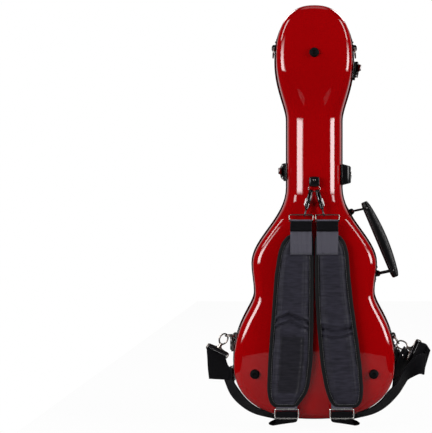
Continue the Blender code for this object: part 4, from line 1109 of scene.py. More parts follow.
@dataclass
class Hardware:
    """Latches, lock, lugs, rings, hinges, bumpers, feet and the strap anchor.

    Turned parts are (radius, height) profiles: bezel and swivel in metres, dome as shares of its radius and rise.
    latch_seat is (lift off the wall, reach to the back). hinge_seats hold how far a screw lies in from a leaf's
    outer face, from the base leaf's rear edge and from the lid leaf's front edge. hook_spread is how far an upper
    hook leans out at the anchor's ring and in at the strap's ring. gate_seat is in the hook's own axes.
    """

    form: CaseForm
    palette: Palette
    latch_heights: dict[str, tuple[int, float]]
    back: BVHTree
    screw_spread: float = 0.0112
    hinge_spread: float = 0.0085
    slider_lift: float = 0.0036
    bail_swell: float = 0.0006
    wire_radius: float = 0.0013
    dome_rise: float = 0.0064
    cap_stretch: float = 1.30
    lock_draw: float = 0.24
    screw_radius: float = 0.0018
    lug_screw_radius: float = 0.0022
    rivet_radius: float = 0.0026
    latch_seat: tuple[float, float] = (0.0018, 0.0290)
    lug_seat: float = 0.0017
    hinge_seats: Triple = (0.0042, 0.0055, 0.0040)
    hook_spread: tuple[float, float] = (0.0062, 0.0065)
    swivel_drop: float = 0.0305
    gate_seat: Triple = (0.0080, 0.0036, -0.0185)
    gate_size: Triple = (0.0022, 0.0056, 0.0145)
    bezel: ClassVar = ((0.0060, 0.0), (0.0078, 0.0), (0.0076, 0.0007), (0.0068, 0.0011), (0.0060, 0.0008),
                       (0.0060, 0.0))
    swivel: ClassVar = ((0.0, 0.0), (0.0036, 0.0), (0.0044, 0.0008), (0.0044, 0.0024), (0.0038, 0.0030),
                        (0.0044, 0.0036), (0.0044, 0.0058), (0.0034, 0.0068), (0.0, 0.0068))
    dome: ClassVar = ((0.0, 0.86), (0.34, 0.90), (0.42, 1.0), (0.60, 0.97), (0.80, 0.80), (0.94, 0.50),
                      (1.0, 0.16), (0.98, 0.0), (0.0, 0.0))

    def build(self) -> None:
        """Builds every piece of hardware."""
        self.latches()
        self.lock()
        self.hinges()
        self.lugs()
        self.wires()
        for side, word in ((1, "left"), (-1, "right")):
            self.upper_hook(side, word)
        self.bumpers_and_feet()
        self.anchor()

    def fixings(self, name: str, body: str, seats: Sequence[Vector], outward: Vector, radius: float) -> None:
        """A set of screw heads as one piece.

        Args:
            name: the piece's name.
            body: the body that holds them.
            seats: where each head sits.
            outward: the direction in which they look.
            radius: the heads' radius.
        """
        heads = [seated(screw(radius), seat, outward, 0.5 * k) for k, seat in enumerate(seats)]
        place(name, joined(heads), self.palette.dark, body)

    def wall_fixings(self, name: str, wall: Matrix, spot: tuple[float, float], radius: float) -> None:
        """Two screw heads on a side wall, above and below a spot of (lift, reach to the back)."""
        seats = [wall @ Vector((*spot, z)) for z in (-self.screw_spread, self.screw_spread)]
        self.fixings(name, BASE, seats, wall.col[0].xyz, radius)

    def wire(self, node: str, body: str) -> None:
        """A packed wire, smoothed.

        Args:
            node: the node's name.
            body: the body that it moves with.
        """
        bm = merged(node)
        bmesh.ops.join_triangles(bm, faces=bm.faces, angle_face_threshold=math.radians(60.0),
                                 angle_shape_threshold=math.radians(60.0))
        finish = self.palette.dark
        if node.endswith(("ring", "hook")):
            finish = self.palette.smoked
        elif node.endswith("slider"):
            finish = self.palette.bright
            bmesh.ops.translate(bm, vec=(0.0, self.slider_lift, 0.0), verts=bm.verts)
        elif node.endswith("bail"):
            bm.normal_update()
            for vert in bm.verts:
                vert.co += vert.normal * self.bail_swell
        rounded(place(f"{node}_wire", bm, finish, body, [node], 180.0), 2)

    def latches(self) -> None:
        """Three draw latches, each a plate, a lever, a wire claw and a keeper."""
        for name, (side, height) in self.latch_heights.items():
            word = name.split("_")[0]
            dress(f"{name}_base", f"{name}_plate", 0.0004, self.palette.dark)
            dress(f"{name}_handle", f"{name}_lever", 0.0006, self.palette.dark, f"{word}_lever", 3)
            self.wire(f"{name}_claw", f"{word}_claw")
            dress(f"{name}_catch", f"{name}_keeper", 0.0005, self.palette.dark, "lid")
            self.wall_fixings(f"{name}_screws", self.form.wall_frame(side, height), self.latch_seat,
                              self.screw_radius)

    def drawn_in(self, node: str, edge: float) -> bmesh.types.BMesh:
        """A packed fitting with softened edges, its outer face drawn in towards its middle height.

        Args:
            node: the node's name.
            edge: how wide its rounding is.

        Returns:
            The shape.
        """
        bm = softened(node, edge)
        reach = [abs(vert.co.x) for vert in bm.verts]
        middle = middle_of(node).z
        for vert, out in zip(bm.verts, reach):
            rise = (out - min(reach)) / (max(reach) - min(reach))
            vert.co.z = middle + (vert.co.z - middle) * (1.0 - self.lock_draw * rise)
        return bm

    def lock(self) -> None:
        """The key lock: a moulded housing, its keeper and a turning cylinder in a bezel."""
        for node, edge, body in (("lock_housing", 0.0008, BASE), ("lock_keeper", 0.0007, "lid")):
            place(f"{node}_moulding", self.drawn_in(node, edge), self.palette.plastic, body, [node])
        dress("lock_core_plug", "lock_cylinder", 0.0003, self.palette.bright, "lock_core")
        turn = next(joint for joint in frame["joints"] if joint["name"] == "lock_turn")
        bezel = seated(turned(self.bezel, 32), Vector(turn["pos_m"]), Vector(turn["axis"]).normalized())
        place("lock_bezel", bezel, self.palette.bright)

    def hinges(self) -> None:
        """Two butt hinges with screwed leaves."""
        for name in ("lower_hinge", "upper_hinge"):
            for leaf, body in (("base_leaf", BASE), ("lid_leaf", "lid")):
                node = f"{name}_{leaf}"
                dress(f"{node}_plate", node, 0.0003, self.palette.dark, body)
                low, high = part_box(node)
                inset_x, inset_base, inset_lid = self.hinge_seats
                depth = high.y - inset_base if leaf == "base_leaf" else low.y + inset_lid
                seats = [Vector((high.x - inset_x, depth, middle_of(node).z + z))
                         for z in (-self.hinge_spread, self.hinge_spread)]
                self.fixings(f"{node}_screws", body, seats, X_AXIS, self.screw_radius)

    def lugs(self) -> None:
        """Saddles that hold the D-rings and the handle's bails, each with a screw above and below."""
        for word in ("head_left", "head_right", "lower_left", "lower_right", "handle_upper", "handle_lower"):
            name = f"{word}_lug"
            dress(f"{name}_saddle", name, 0.0005, self.palette.dark)
            middle = middle_of(name)
            wall = self.form.wall_frame(1 if middle.x > 0 else -1, middle.z - self.form.foot)
            self.wall_fixings(f"{name}_screws", wall, (self.lug_seat, (wall.inverted() @ middle).y),
                              self.lug_screw_radius)

    def wires(self) -> None:
        """D-rings, bails, lower hooks, strap rings and sliders."""
        bodies = {"head_left_ring": "head_left_d_ring", "head_right_ring": "head_right_d_ring",
                  "handle_upper_bail": "upper_bail", "handle_lower_bail": "lower_bail"}
        for node in ("head_left_ring", "head_right_ring", "lower_left_ring", "lower_right_ring",
                     "handle_upper_bail", "handle_lower_bail", "anchor_ring", "left_lower_hook", "right_lower_hook",
                     "left_upper_ring", "right_upper_ring", "left_slider", "right_slider"):
            self.wire(node, bodies.get(node, BASE))

    def upper_hook(self, side: int, word: str) -> None:
        """A broad cast bow, its swivel barrel and its gate, whose near-white colour is a painted highlight, for a snap
        hook below the anchor.

        Args:
            side: 1 for the left strap, -1 for the right.
            word: left or right.
        """
        ring_low, ring_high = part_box("anchor_ring")
        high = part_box(f"{word}_upper_ring")[1]
        strap_ring = middle_of(f"{word}_upper_ring")
        start = Vector((side * self.hook_spread[0], ring_high.y - self.wire_radius, ring_low.z + self.wire_radius))
        end = Vector((strap_ring.x - side * self.hook_spread[1], strap_ring.y, high.z - self.wire_radius))
        up = (start - end).normalized()
        across = (X_AXIS - up * up.x).normalized()
        hung = axes_at(start, across.cross(up), across, up)
        bow = moved(merged(f"{word}_upper_hook"), hung.inverted())
        for vert in bow.verts:
            vert.co.y *= 1.0 + 1.3 / (1.0 + math.exp(-(vert.co.z + 0.0240) / 0.0012))
        rounded(place(f"{word}_upper_hook_casting", moved(bow, hung), self.palette.dark, BASE,
                      [f"{word}_upper_hook"], 60.0), 1)
        barrel = moved(turned(self.swivel, 24), hung @ Matrix.Translation((0.0, 0.0, -self.swivel_drop)))
        place(f"{word}_upper_swivel", barrel, self.palette.dark)
        # The gate is a near-white block whose colour is a painted highlight.
        x, y, z = self.gate_seat
        gate = moved(block(self.gate_size, 0.0006), hung @ Matrix.Translation((x, side * y, z)))
        place(f"{word}_upper_gate_painted_highlight", gate, self.palette.satin)

    def bumpers_and_feet(self) -> None:
        """Domed rubber bumpers on the back and tapered feet below."""
        for name in ("head_bumper", "left_bumper", "right_bumper"):
            middle = middle_of(name)
            point, normal, _, _ = self.back.ray_cast(Vector((middle.x, 0.5, middle.z)), -Y_AXIS)
            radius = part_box(name)[1].x - middle.x
            dome = turned([(r * radius, h * self.dome_rise) for r, h in self.dome], 40)
            place(f"{name}_dome", seated(dome, point, normal), self.palette.rubber, BASE, [name])
        for name in ("left_foot", "right_foot"):
            dress(f"{name}_taper", name, 0.0009, self.palette.rubber, segments=3)

    def anchor(self) -> None:
        """The strap anchor on the neck, a glossy cap with a rivet."""
        cap = softened("strap_anchor", 0.0012, 3)
        bmesh.ops.scale(cap, vec=(self.cap_stretch, 1.0, 1.0), verts=cap.verts)
        place("strap_anchor_cap", cap, self.palette.plastic, BASE, ["strap_anchor"])
        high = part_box("strap_anchor")[1]
        seat = Vector((middle_of("strap_anchor").x, high.y - 0.0001, high.z - 0.0065))
        self.fixings("strap_anchor_rivet", BASE, [seat], Y_AXIS, self.rivet_radius)


@dataclass
class Handle:
    """A stitched leather grip between the two bails.

    ends holds the (place along the grip, swell) stations of a rounded end, powers how square the section is across
    and in depth, reach how far the grip reaches towards the case and away from it at its ends, and bow how much
    further at its middle.
    """

    palette: Palette
    half_depth: float = 0.0105
    overhang: float = 0.0125
    reach: tuple[float, float] = (0.0078, 0.0058)
    bow: float = 0.0072
    powers: tuple[float, float] = (0.90, 0.80)
    facets: int = 32
    ends: tuple[tuple[float, float], ...] = ((1.0, 0.42), (0.985, 0.52), (0.94, 0.58))
    pitch: float = 0.0042
    stitched: float = 0.86

    def __post_init__(self) -> None:
        """Takes the grip's axis and length from its two pivots."""
        joints = {joint["name"]: Vector(joint["pos_m"]) for joint in frame["joints"]}
        high = joints["grip_swing"]
        low = joints["lower_bail_swing"] + high - joints["upper_bail_swing"]
        self.axis = (high - low).normalized()
        across = Y_AXIS.cross(self.axis)
        self.across = across * -math.copysign(1.0, across.x)
        self.middle, self.half = (low + high) / 2, (high - low).length / 2 + self.overhang

    def build(self) -> None:
        """Builds the grip and its stitching."""
        stations = [(-share, swell) for share, swell in self.ends]
        stations += [(k / 8, 0.60 + 0.40 * (1 - (k / 8) ** 4)) for k in range(-7, 8)]
        stations += reversed(self.ends)
        loft = Loft.through([self.section(share, swell) for share, swell in stations])
        loft.cap()
        place("handle_leather_grip", loft.skin(), self.palette.leather, "grip", ["handle_grip"], 60.0)
        self.stitches()

    def section(self, share: float, swell: float) -> list[Vector]:
        """The grip's section at a share of its half length.

        Args:
            share: the place along the grip, from -1 to 1.
            swell: how full the grip is there.

        Returns:
            The section's points.
        """
        ring = []
        for k in range(self.facets):
            angle = math.tau * k / self.facets
            u, v = (math.copysign(abs(value) ** power, value)
                    for value, power in zip((math.cos(angle), math.sin(angle)), self.powers))
            u *= self.extent(share, math.cos(angle)) * min(1.0, swell / 0.62)
            v *= self.half_depth * min(1.0, swell + 0.3)
            ring.append(self.middle + self.axis * share * self.half + self.across * u + Y_AXIS * v)
        return ring

    def extent(self, share: float, side: float) -> float:
        """How far the grip reaches from its axis: straight towards the case and bowed away from it."""
        toward, away = self.reach
        return toward if side < 0 else away + self.bow * (1 - share * share)

    def stitches(self) -> None:
        """Two rows of raised stitches along both broad faces."""
        parts = []
        count = int(self.half * 2 * self.stitched / self.pitch)
        for face in (-1, 1):
            lift = Y_AXIS * face * 0.00035
            for row in (-1, 1):
                for k in range(count):
                    share = (2 * (k + 0.5) / count - 1) * self.stitched
                    offset = row * (self.extent(share, row) - 0.0030)
                    centre = (self.middle + self.axis * share * self.half + self.across * offset
                              + Y_AXIS * face * (self.half_depth * 0.93))
                    parts.append(stitch(centre, self.axis * self.pitch * 0.32, lift, 0.00042))
        place("handle_stitching", joined(parts), self.palette.thread.on(Slot.LEATHER), "grip")


# ---------------------------------------------------------------- shoulder straps

def inset(outline: Sequence[Vector], amount: float) -> list[Vector]:
    """A closed outline moved inwards.

    Args:
        outline: its points in order.
        amount: how far each one moves.

    Returns:
        The moved points.
    """
    area = sum(a.x * b.y - b.x * a.y for a, b in zip(outline, [*outline[1:], outline[0]]))
    turn = math.copysign(1.0, area)
    drawn = []
    for k, point in enumerate(outline):
        along = (outline[(k + 1) % len(outline)] - outline[k - 1]).normalized()
        drawn.append(point + Vector((-along.y, along.x)) * amount * turn)
    return drawn


@dataclass(frozen=True)
class PadForm:
    """A shoulder pad's outline and the relief of its face.

    side is 1 for the left pad and -1 for the right. stations are (height, inner edge, outer edge). Soft folds cross
    the pad along a line, bent like a roof or a smile, and are (distance above it, rise, width). channels are
    (share across, rise) beside the binding, seam is (height, depth, width), and the panel's share across and its
    height are each (middle, half, blur).
    """

    word: str
    side: int
    stations: tuple[Triple, ...]
    fold_height: float
    fold_middle: float
    folds: tuple[Triple, ...]
    corner: float = 0.006
    channels: ClassVar = ((0.17, -0.0012), (0.83, -0.0012), (0.24, 0.0014), (0.76, 0.0014))
    channel_width: ClassVar = 0.030
    seam: ClassVar = (0.2965, 0.0014, 0.0014)
    panel_share: ClassVar = (0.47, 0.27, 0.012)
    panel_height: ClassVar = (0.105, 0.050, 0.0012)
    panel_sink: ClassVar = 0.0013

    def share(self, x: float, z: float) -> float:
        """How far across the pad a place lies, from 0 at its inner edge to 1 at its outer.

        Args:
            x: the place's distance from the case's middle.
            z: its height.

        Returns:
            The share.
        """
        inner, outer = self.stations[-1][1:]
        for (low, *first), (high, *second) in zip(self.stations, self.stations[1:]):
            if z <= high:
                part = max(0.0, (z - low) / (high - low))
                inner, outer = (a + (b - a) * part for a, b in zip(first, second))
                break
        return (x - inner) / max(outer - inner, 0.001)

    def outline(self) -> list[Vector]:
        """The outline as (x, z) in the case's frame, with rounded corners.

        Returns:
            The points in order.
        """
        points = [Vector((self.side * inner, z)) for z, inner, _ in self.stations]
        points += [Vector((self.side * outer, z)) for z, _, outer in reversed(self.stations)]
        bends = []
        for k, point in enumerate(points):
            before, after = points[k - 1], points[(k + 1) % len(points)]
            start, end = (point + (far - point).normalized() * min(self.corner, (far - point).length * 0.45)
                          for far in (before, after))
            bend = interpolate_bezier(start, start.lerp(point, 0.6), end.lerp(point, 0.6), end, 6)
            bends += [Vector(spot[:2]) for spot in bend]
        return bends

    def on_panel(self, share: float, z: float) -> bool:
        """Whether a place lies on the left pad's sunk panel."""
        return all(abs(value - middle) < half
                   for value, (middle, half, _) in ((share, self.panel_share), (z, self.panel_height)))

    def relief(self, x: float, z: float, share: float) -> float:
        """How far the pad's face stands out: channels and ridges beside the binding, a seam, folds and a panel.

        Args:
            x: the place's distance from the case's middle.
            z: its height.
            share: how far across the pad it lies.

        Returns:
            The face's rise there.
        """
        def groove(distance: float, width: float) -> float:
            """A smooth groove's depth share at a distance from its middle."""
            return math.exp(-(distance / width) ** 2)

        height, depth, width = self.seam
        rise = sum(step * groove(share - spot, self.channel_width) for spot, step in self.channels)
        rise -= depth * groove(z - height, width)
        if self.side > 0:
            line = self.fold_height - 0.45 * abs(x - self.fold_middle)
            sunk = self.panel_sink
            for value, (middle, half, blur) in ((share, self.panel_share), (z, self.panel_height)):
                sunk /= 1 + math.exp((abs(value - middle) - half) / blur)
            rise -= sunk
        else:
            line = self.fold_height + 9.0 * (x - self.fold_middle) ** 2
        return rise + sum(step * groove(z - line - above, width) for above, step, width in self.folds)


LEFT_PAD = PadForm("left", 1, (
    (0.0275, 0.0310, 0.0690), (0.036, 0.0250, 0.0785), (0.050, 0.0145, 0.0822), (0.066, 0.0082, 0.0830),
    (0.110, 0.0030, 0.0812), (0.172, 0.0012, 0.0766), (0.260, 0.0008, 0.0699), (0.300, 0.0008, 0.0640),
    (0.320, 0.0010, 0.0570), (0.333, 0.0030, 0.0460)), 0.1985, 0.0440, (
    (0.0, 0.0030, 0.0028), (-0.0060, -0.0042, 0.0028), (-0.0130, 0.0022, 0.0030), (-0.0190, -0.0022, 0.0028)))
RIGHT_PAD = PadForm("right", -1, (
    (0.0275, 0.0355, 0.0745), (0.036, 0.0285, 0.0830), (0.050, 0.0225, 0.0858), (0.066, 0.0180, 0.0862),
    (0.101, 0.0115, 0.0836), (0.145, 0.0072, 0.0780), (0.172, 0.0048, 0.0742), (0.215, 0.0022, 0.0682),
    (0.260, 0.0010, 0.0635), (0.300, 0.0008, 0.0605), (0.320, 0.0010, 0.0550), (0.333, 0.0030, 0.0450)),
    0.1560, 0.0370, (
    (0.0, 0.0032, 0.0026), (0.0056, -0.0040, 0.0028), (0.0180, 0.0018, 0.0036), (-0.0065, -0.0018, 0.0032)))


@dataclass
class Straps:
    """Padded shoulder straps, their binding and seams, and the webbing at both ends.

    Webbing runs through stations of ((distance out, depth, height), width direction). foot_turn's distances start
    at the slider, and those of climbs and tail_path at the lower bout's side. leans are the webbing's leans in to
    the side wall in degrees, at beside's (height, depth) places.
    """

    form: CaseForm
    palette: Palette
    binding: float = 0.0085
    webbing: float = 0.038
    tab_width: float = 0.0370
    webbing_wall: float = 0.0018
    bar_radius: float = 0.0013
    cloth_size: float = 0.0040
    cloth_frames: int = 20
    pressure: float = 4.0
    most_swell: float = 0.0035
    pucker_rise: float = 0.00060
    stitch_pitch: float = 0.0040
    bridge_size: Triple = (0.0385, 0.0034, 0.0062)
    shares: ClassVar = (-0.5, -0.46, -0.25, 0.0, 0.25, 0.46, 0.5)
    leans: ClassVar = {1: (22.0, 27.0, 31.0, 34.0), -1: (22.0, 27.0, 31.0, 35.0)}
    beside: ClassVar = ((0.0060, 0.054), (0.0195, 0.051), (0.0341, 0.049), (0.0524, 0.046))
    foot_turn: ClassVar = (((0.0025, 0.0795, 0.0000), (0.90, 0.42, 0.00)),
                           ((0.0125, 0.0670, -0.0045), (0.62, 0.78, 0.02)),
                           ((0.0275, 0.0590, -0.0030), (0.20, 0.96, 0.12)))
    climbs: ClassVar = {
        1: (((0.0085, 0.0440, 0.0740), (-0.50, 0.86, 0.0)), ((0.0140, 0.0440, 0.0930), (-0.74, 0.66, -0.10))),
        -1: (((0.0085, 0.0470, 0.0640), (0.40, 0.88, 0.25)), ((0.0170, 0.0510, 0.0800), (0.28, 0.80, 0.53)),
             ((0.0290, 0.0560, 0.0930), (0.15, 0.52, 0.84)), ((0.0420, 0.0570, 0.1010), (0.00, 0.22, 0.97)),
             ((0.0500, 0.0530, 0.1000), (-0.10, 0.05, 0.98)), ((0.0525, 0.0480, 0.1000), (-0.12, 0.00, 0.98)),
             ((0.0500, 0.0430, 0.1010), (-0.20, 0.00, 0.95)))}
    tail_path: ClassVar = (((0.0270, 0.0400, 0.1180), (-0.62, -0.30, -0.72)),
                           ((0.0150, 0.0385, 0.1030), (-0.66, -0.66, -0.35)),
                           ((0.0070, 0.0375, 0.0850), (-0.60, -0.80, 0.00)),
                           ((0.0035, 0.0370, 0.0640), (-0.50, -0.86, 0.00)),
                           ((-0.0025, 0.0360, 0.0480), (-0.42, -0.90, 0.06)))
    front_drops: ClassVar = ((0.0130, 0.25), (0.0280, 0.50), (0.0430, 0.55), (0.0460, 0.55))

    def __post_init__(self) -> None:
        """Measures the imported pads, and the turn of webbing round a bar."""
        low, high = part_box("left_pad")
        self.inner, self.outer = low.y, high.y
        self.middle = (low.y + high.y) / 2
        self.bar_turn = self.bar_radius + CLEARANCE + self.webbing_wall / 2

    def build(self) -> None:
        """Builds both straps."""
        for pad in (LEFT_PAD, RIGHT_PAD):
            outline = pad.outline()
            self.pad(pad, outline)
            self.bind(pad.word, outline)
            self.stitch_binding(pad.word, outline)
            self.lower_webbing(pad.word, pad.side)
            self.upper_webbing(pad.word, pad.side)
            self.tab(pad.word)
            self.eye_plate(pad.word, pad.side)
        self.ribbon("right_strap_tail", self.beyond(-1, self.tail_path), self.palette.webbing)

    def level(self, outline: Sequence[Vector], y: float) -> list[Vector]:
        """An outline's points in the world, at one depth."""
        return [Vector((point.x, y, self.form.foot + point.y)) for point in outline]

    def pad(self, form: PadForm, outline: Sequence[Vector]) -> None:
        """The stuffed pad: inflated cloth, then folds and ridges.

        Args:
            form: the pad's form.
            outline: its outline.
        """
        edge = inset(outline, 0.0035)
        loft = Loft.through([self.level(edge, self.inner + 0.0010), self.level(inset(outline, 0.0028), self.middle),
                             self.level(edge, self.outer - 0.0012)])
        loft.cap()
        piece = place(f"{form.word}_padded_strap", loft.skin(), self.palette.nylon, BASE, [f"{form.word}_pad"], 180.0)
        remesh = piece.modifiers.new("even", "REMESH")
        remesh.mode = "VOXEL"
        remesh.voxel_size = self.cloth_size
        self.bake(piece)
        self.inflate(piece)
        rounded(piece, 1)
        self.bake(piece)
        self.fold(piece, form)
        rounded(piece, 1)
        piece.data.materials.append(self.palette.panel.material)
        if form.side > 0:
            for face in piece.data.polygons:
                x, z = abs(face.center.x), face.center.z - self.form.foot
                if face.center.y > self.middle and form.on_panel(form.share(x, z), z):
                    face.material_index = 1

    @staticmethod
    def bake(piece: bpy.types.Object) -> None:
        """Applies the piece's modifiers to its mesh.

        Args:
            piece: the piece, whose mesh is replaced.
        """
        bpy.context.view_layer.update()
        data = bpy.data.meshes.new_from_object(piece.evaluated_get(bpy.context.evaluated_depsgraph_get()))
        old = piece.data
        piece.modifiers.clear()
        data.name = old.name
        piece.data = data
        data.shade_smooth()
        bpy.data.meshes.remove(old)

    def inflate(self, piece: bpy.types.Object) -> None:
        """Blows the pad up as cloth and caps how far it swells.

        Args:
            piece: the pad's even mesh.
        """
        rest = [vert.co.copy() for vert in piece.data.vertices]
        cloth = piece.modifiers.new("stuffing", "CLOTH")
        cloth.settings.use_pressure = True
        cloth.settings.uniform_pressure_force = self.pressure
        cloth.settings.effector_weights.gravity = 0.0
        scene = bpy.context.scene
        scene.frame_start, scene.frame_end = 1, self.cloth_frames
        for number in range(1, self.cloth_frames + 1):
            scene.frame_set(number)
        self.bake(piece)
        for vert, start in zip(piece.data.vertices, rest):
            move = vert.co - start
            vert.co = start + move.normalized() * min(move.length, self.most_swell)
            vert.co.y = min(max(vert.co.y, self.inner + 0.0004), self.outer + 0.0010)
        scene.frame_set(1)

    def fold(self, piece: bpy.types.Object, form: PadForm) -> None:
        """Gives the pad's outer face its relief and fine puckers, which fade towards its edges.

        Args:
            piece: the inflated pad.
            form: the pad's form.
        """
        for vert in piece.data.vertices:
            x, z = abs(vert.co.x), vert.co.z - self.form.foot
            share = form.share(x, z)
            fade = min(1.0, share / 0.12, (1 - share) / 0.12) if 0 < share < 1 else 0.0
            if vert.co.y < self.middle or fade <= 0.0:
                continue
            across = x * form.side
            pucker = noise.noise(Vector((across * 38.0, z * 260.0, 3.0)))
            pucker += 0.8 * noise.noise(Vector((across * 15.0, z * 90.0, 9.0)))
            vert.co.y += fade * (form.relief(x, z, share) + self.pucker_rise * pucker)

    def bind(self, word: str, outline: Sequence[Vector]) -> None:
        """Mesh tape folded over the pad's edge.

        Args:
            word: left or right.
            outline: the pad's outline.
        """
        face, back, width = self.outer - 0.0012, self.inner + 0.0012, self.binding
        section = ((width, face - 0.0010), (width * 0.9, face), (width * 0.5, face + 0.0006), (0.0016, face),
                   (0.0003, face - 0.0014), (0.0, (face + back) / 2), (0.0003, back + 0.0012), (0.0016, back),
                   (width * 0.9, back), (width, back + 0.0010))
        loft = Loft.through([self.level(inset(outline, amount), y) for amount, y in section + section[:1]])
        place(f"{word}_strap_binding", loft.skin(), self.palette.tape, sharp=70.0)

    def stitch_binding(self, word: str, outline: Sequence[Vector]) -> None:
        """A row of stitches along the binding's inner edge.

        Args:
            word: left or right.
            outline: the pad's outline.
        """
        row = self.level(inset(outline, self.binding * 0.80), self.outer - 0.0004)
        parts = []
        run = 0.0
        for start, end in zip(row, [*row[1:], row[0]]):
            length = (end - start).length
            along = (end - start).normalized()
            while run < length:
                parts.append(stitch(start + along * run, along * 0.0013, Y_AXIS * 0.0004, 0.0003))
                run += self.stitch_pitch
            run -= length
        place(f"{word}_binding_stitches", joined(parts), self.palette.thread)

    def ribbon(self, name: str, path: Sequence[tuple[Vector, Vector]], finish: Finish, nodes: Sequence[str] = (),
               steps: int = 5, width: float | None = None) -> None:
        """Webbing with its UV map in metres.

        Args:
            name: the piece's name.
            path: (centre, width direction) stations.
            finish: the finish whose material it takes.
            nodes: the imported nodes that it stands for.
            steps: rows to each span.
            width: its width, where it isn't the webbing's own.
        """
        width = width or self.webbing
        centres = smooth_path([centre for centre, _ in path], steps)
        across = smooth_path([direction.normalized() for _, direction in path], steps)
        lengths = [0.0]
        for first, second in zip(centres, centres[1:]):
            lengths.append(lengths[-1] + (second - first).length)
        bm = Loft.through([[centre + direction.normalized() * width * share for share in self.shares]
                           for centre, direction in zip(centres, across)], closed=False).bm
        bm.verts.index_update()
        uv = bm.loops.layers.uv.new("strap")
        for face in bm.faces:
            for corner in face.loops:
                row, column = divmod(corner.vert.index, len(self.shares))
                corner[uv].uv = (self.shares[column] * width, lengths[row])
        bmesh.ops.recalc_face_normals(bm, faces=bm.faces)
        walled(place(name, bm, finish, BASE, nodes, 50.0), self.webbing_wall, 0.0)

    @staticmethod
    def wrap(bar: Vector, toward: Vector, radius: float) -> list[Vector]:
        """The middle line of webbing that turns over a bar, from its lid side to its back side."""
        steps = 4
        return [bar + toward * radius * math.sin(math.pi * k / steps) - Y_AXIS * radius * math.cos(math.pi * k / steps)
                for k in range(steps + 1)]

    def beyond(self, side: int, stations: Sequence[tuple[Triple, Triple]]) -> list[tuple[Vector, Vector]]:
        """Stations whose distances out start at the lower bout's side."""
        out = self.form.lower_bout[0]
        return [(self.form.world(side * (out + more), y, z), Vector(twist)) for (more, y, z), twist in stations]

    def tab(self, word: str) -> None:
        """Short webbing from inside the pad's foot round the slider's upper bar.

        Args:
            word: left or right.
        """
        bar = middle_of(f"{word}_slider")
        bar.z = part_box(f"{word}_slider")[1].z - self.bar_radius
        top = self.form.foot + 0.042
        path = [Vector((bar.x, self.middle - 0.0012, top)), bar + Vector((0.0, -self.bar_turn, 0.004))]
        path += self.wrap(bar, -Z_AXIS, self.bar_turn)
        path += [bar + Vector((0.0, self.bar_turn, 0.004)), Vector((bar.x, self.middle + 0.0012, top))]
        self.ribbon(f"{word}_strap_tab", [(centre, X_AXIS) for centre in path], self.palette.patch, steps=4,
                    width=self.tab_width)

    def upper_webbing(self, word: str, side: int) -> None:
        """Webbing over the strap's ring, sewn down on the pad, and below its ring a raised lap of black webbing whose
        darkness is painted shade of the fold.

        Args:
            word: left or right.
            side: 1 for the left strap, -1 for the right.
        """
        low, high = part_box(f"{word}_upper_webbing")
        x, wall, across = middle_of(f"{word}_upper_webbing").x, self.webbing_wall, X_AXIS * side
        bar = Vector((x, middle_of(f"{word}_upper_ring").y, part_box(f"{word}_upper_ring")[0].z + self.bar_radius))
        face = high.y - wall / 2
        centres = [Vector((x, bar.y - self.bar_turn, low.z + 0.036)), *self.wrap(bar, Z_AXIS, self.bar_turn)]
        centres += [Vector((x, face + lift, low.z + z)) for lift, z in ((0.0, 0.042), (0.0002, 0.022),
                                                                        (-0.0002, 0.0005))]
        self.ribbon(f"{word}_upper_strap", [(centre, across) for centre in centres], self.palette.patch,
                    [f"{word}_upper_webbing"], 4)
        outer = bar.y + self.bar_turn
        # A raised layer of black webbing under the ring: its edge is real relief, its darkness is painted shade of the
        # fold.
        lap = [Vector((x, y, bar.z + z)) for y, z in ((outer + wall * 1.05, 0.0004), (outer + wall * 1.30, -0.0060),
                                                      (face + wall * 1.35, -0.0130), (face + wall * 1.02, -0.0175))]
        self.ribbon(f"{word}_strap_lap_painted_shade", [(centre, across) for centre in lap], self.palette.webbing, steps=4)
        self.box_stitch(word, Vector((x, face + wall / 2, low.z)))

    def box_stitch(self, word: str, foot: Vector) -> None:
        """The sewn box that holds the upper webbing to the pad, and the row under its ring.

        Args:
            word: left or right.
            foot: the middle of the upper webbing's lower edge.
        """
        half, low, high, above = self.webbing / 2 - 0.0030, 0.0025, 0.0210, 0.0235
        rows = ((-half, low, half, low), (-half, high, half, high), (-half, low, -half, high),
                (half, low, half, high), (-half, above, half, above))
        parts = []
        for x0, z0, x1, z1 in rows:
            start, end = foot + Vector((x0, 0.0, z0)), foot + Vector((x1, 0.0, z1))
            count = max(2, int((end - start).length / 0.0028))
            step = (end - start) / count
            parts += [stitch(start + step * (k + 0.5), step * 0.35, Y_AXIS * 0.00025, 0.00032) for k in range(count)]
        place(f"{word}_strap_stitching", joined(parts), self.palette.thread.on(Slot.WEBBING))

    def beside_wall(self, side: int, z: float, y: float, lean: float) -> tuple[Vector, Vector]:
        """A station of webbing that lies flush on the side wall.

        Args:
            side: 1 for the left strap, -1 for the right.
            z: its height.
            y: its depth.
            lean: its rear edge's lean in to the wall, in degrees.

        Returns:
            Its centre and width direction.
        """
        form = self.form
        point, direction = form.side_point(z)
        outward = Vector((side * direction.y, 0.0, -direction.x))
        angle = math.radians(lean)
        rear = y + self.webbing / 2 * math.cos(angle)
        radius = form.base.fillet[0]
        past = min(max(rear - form.base.depth[0] + radius, 0.0) / radius, 1.0)
        drawn = form.slope * (rear - form.band) + radius * (1 - math.sqrt(1 - past * past))
        centre = form.world(side * point.x, y, point.y)
        centre += outward * (self.webbing / 2 * math.sin(angle) - drawn + self.webbing_wall)
        return centre, Y_AXIS * math.cos(angle) - outward * math.sin(angle)

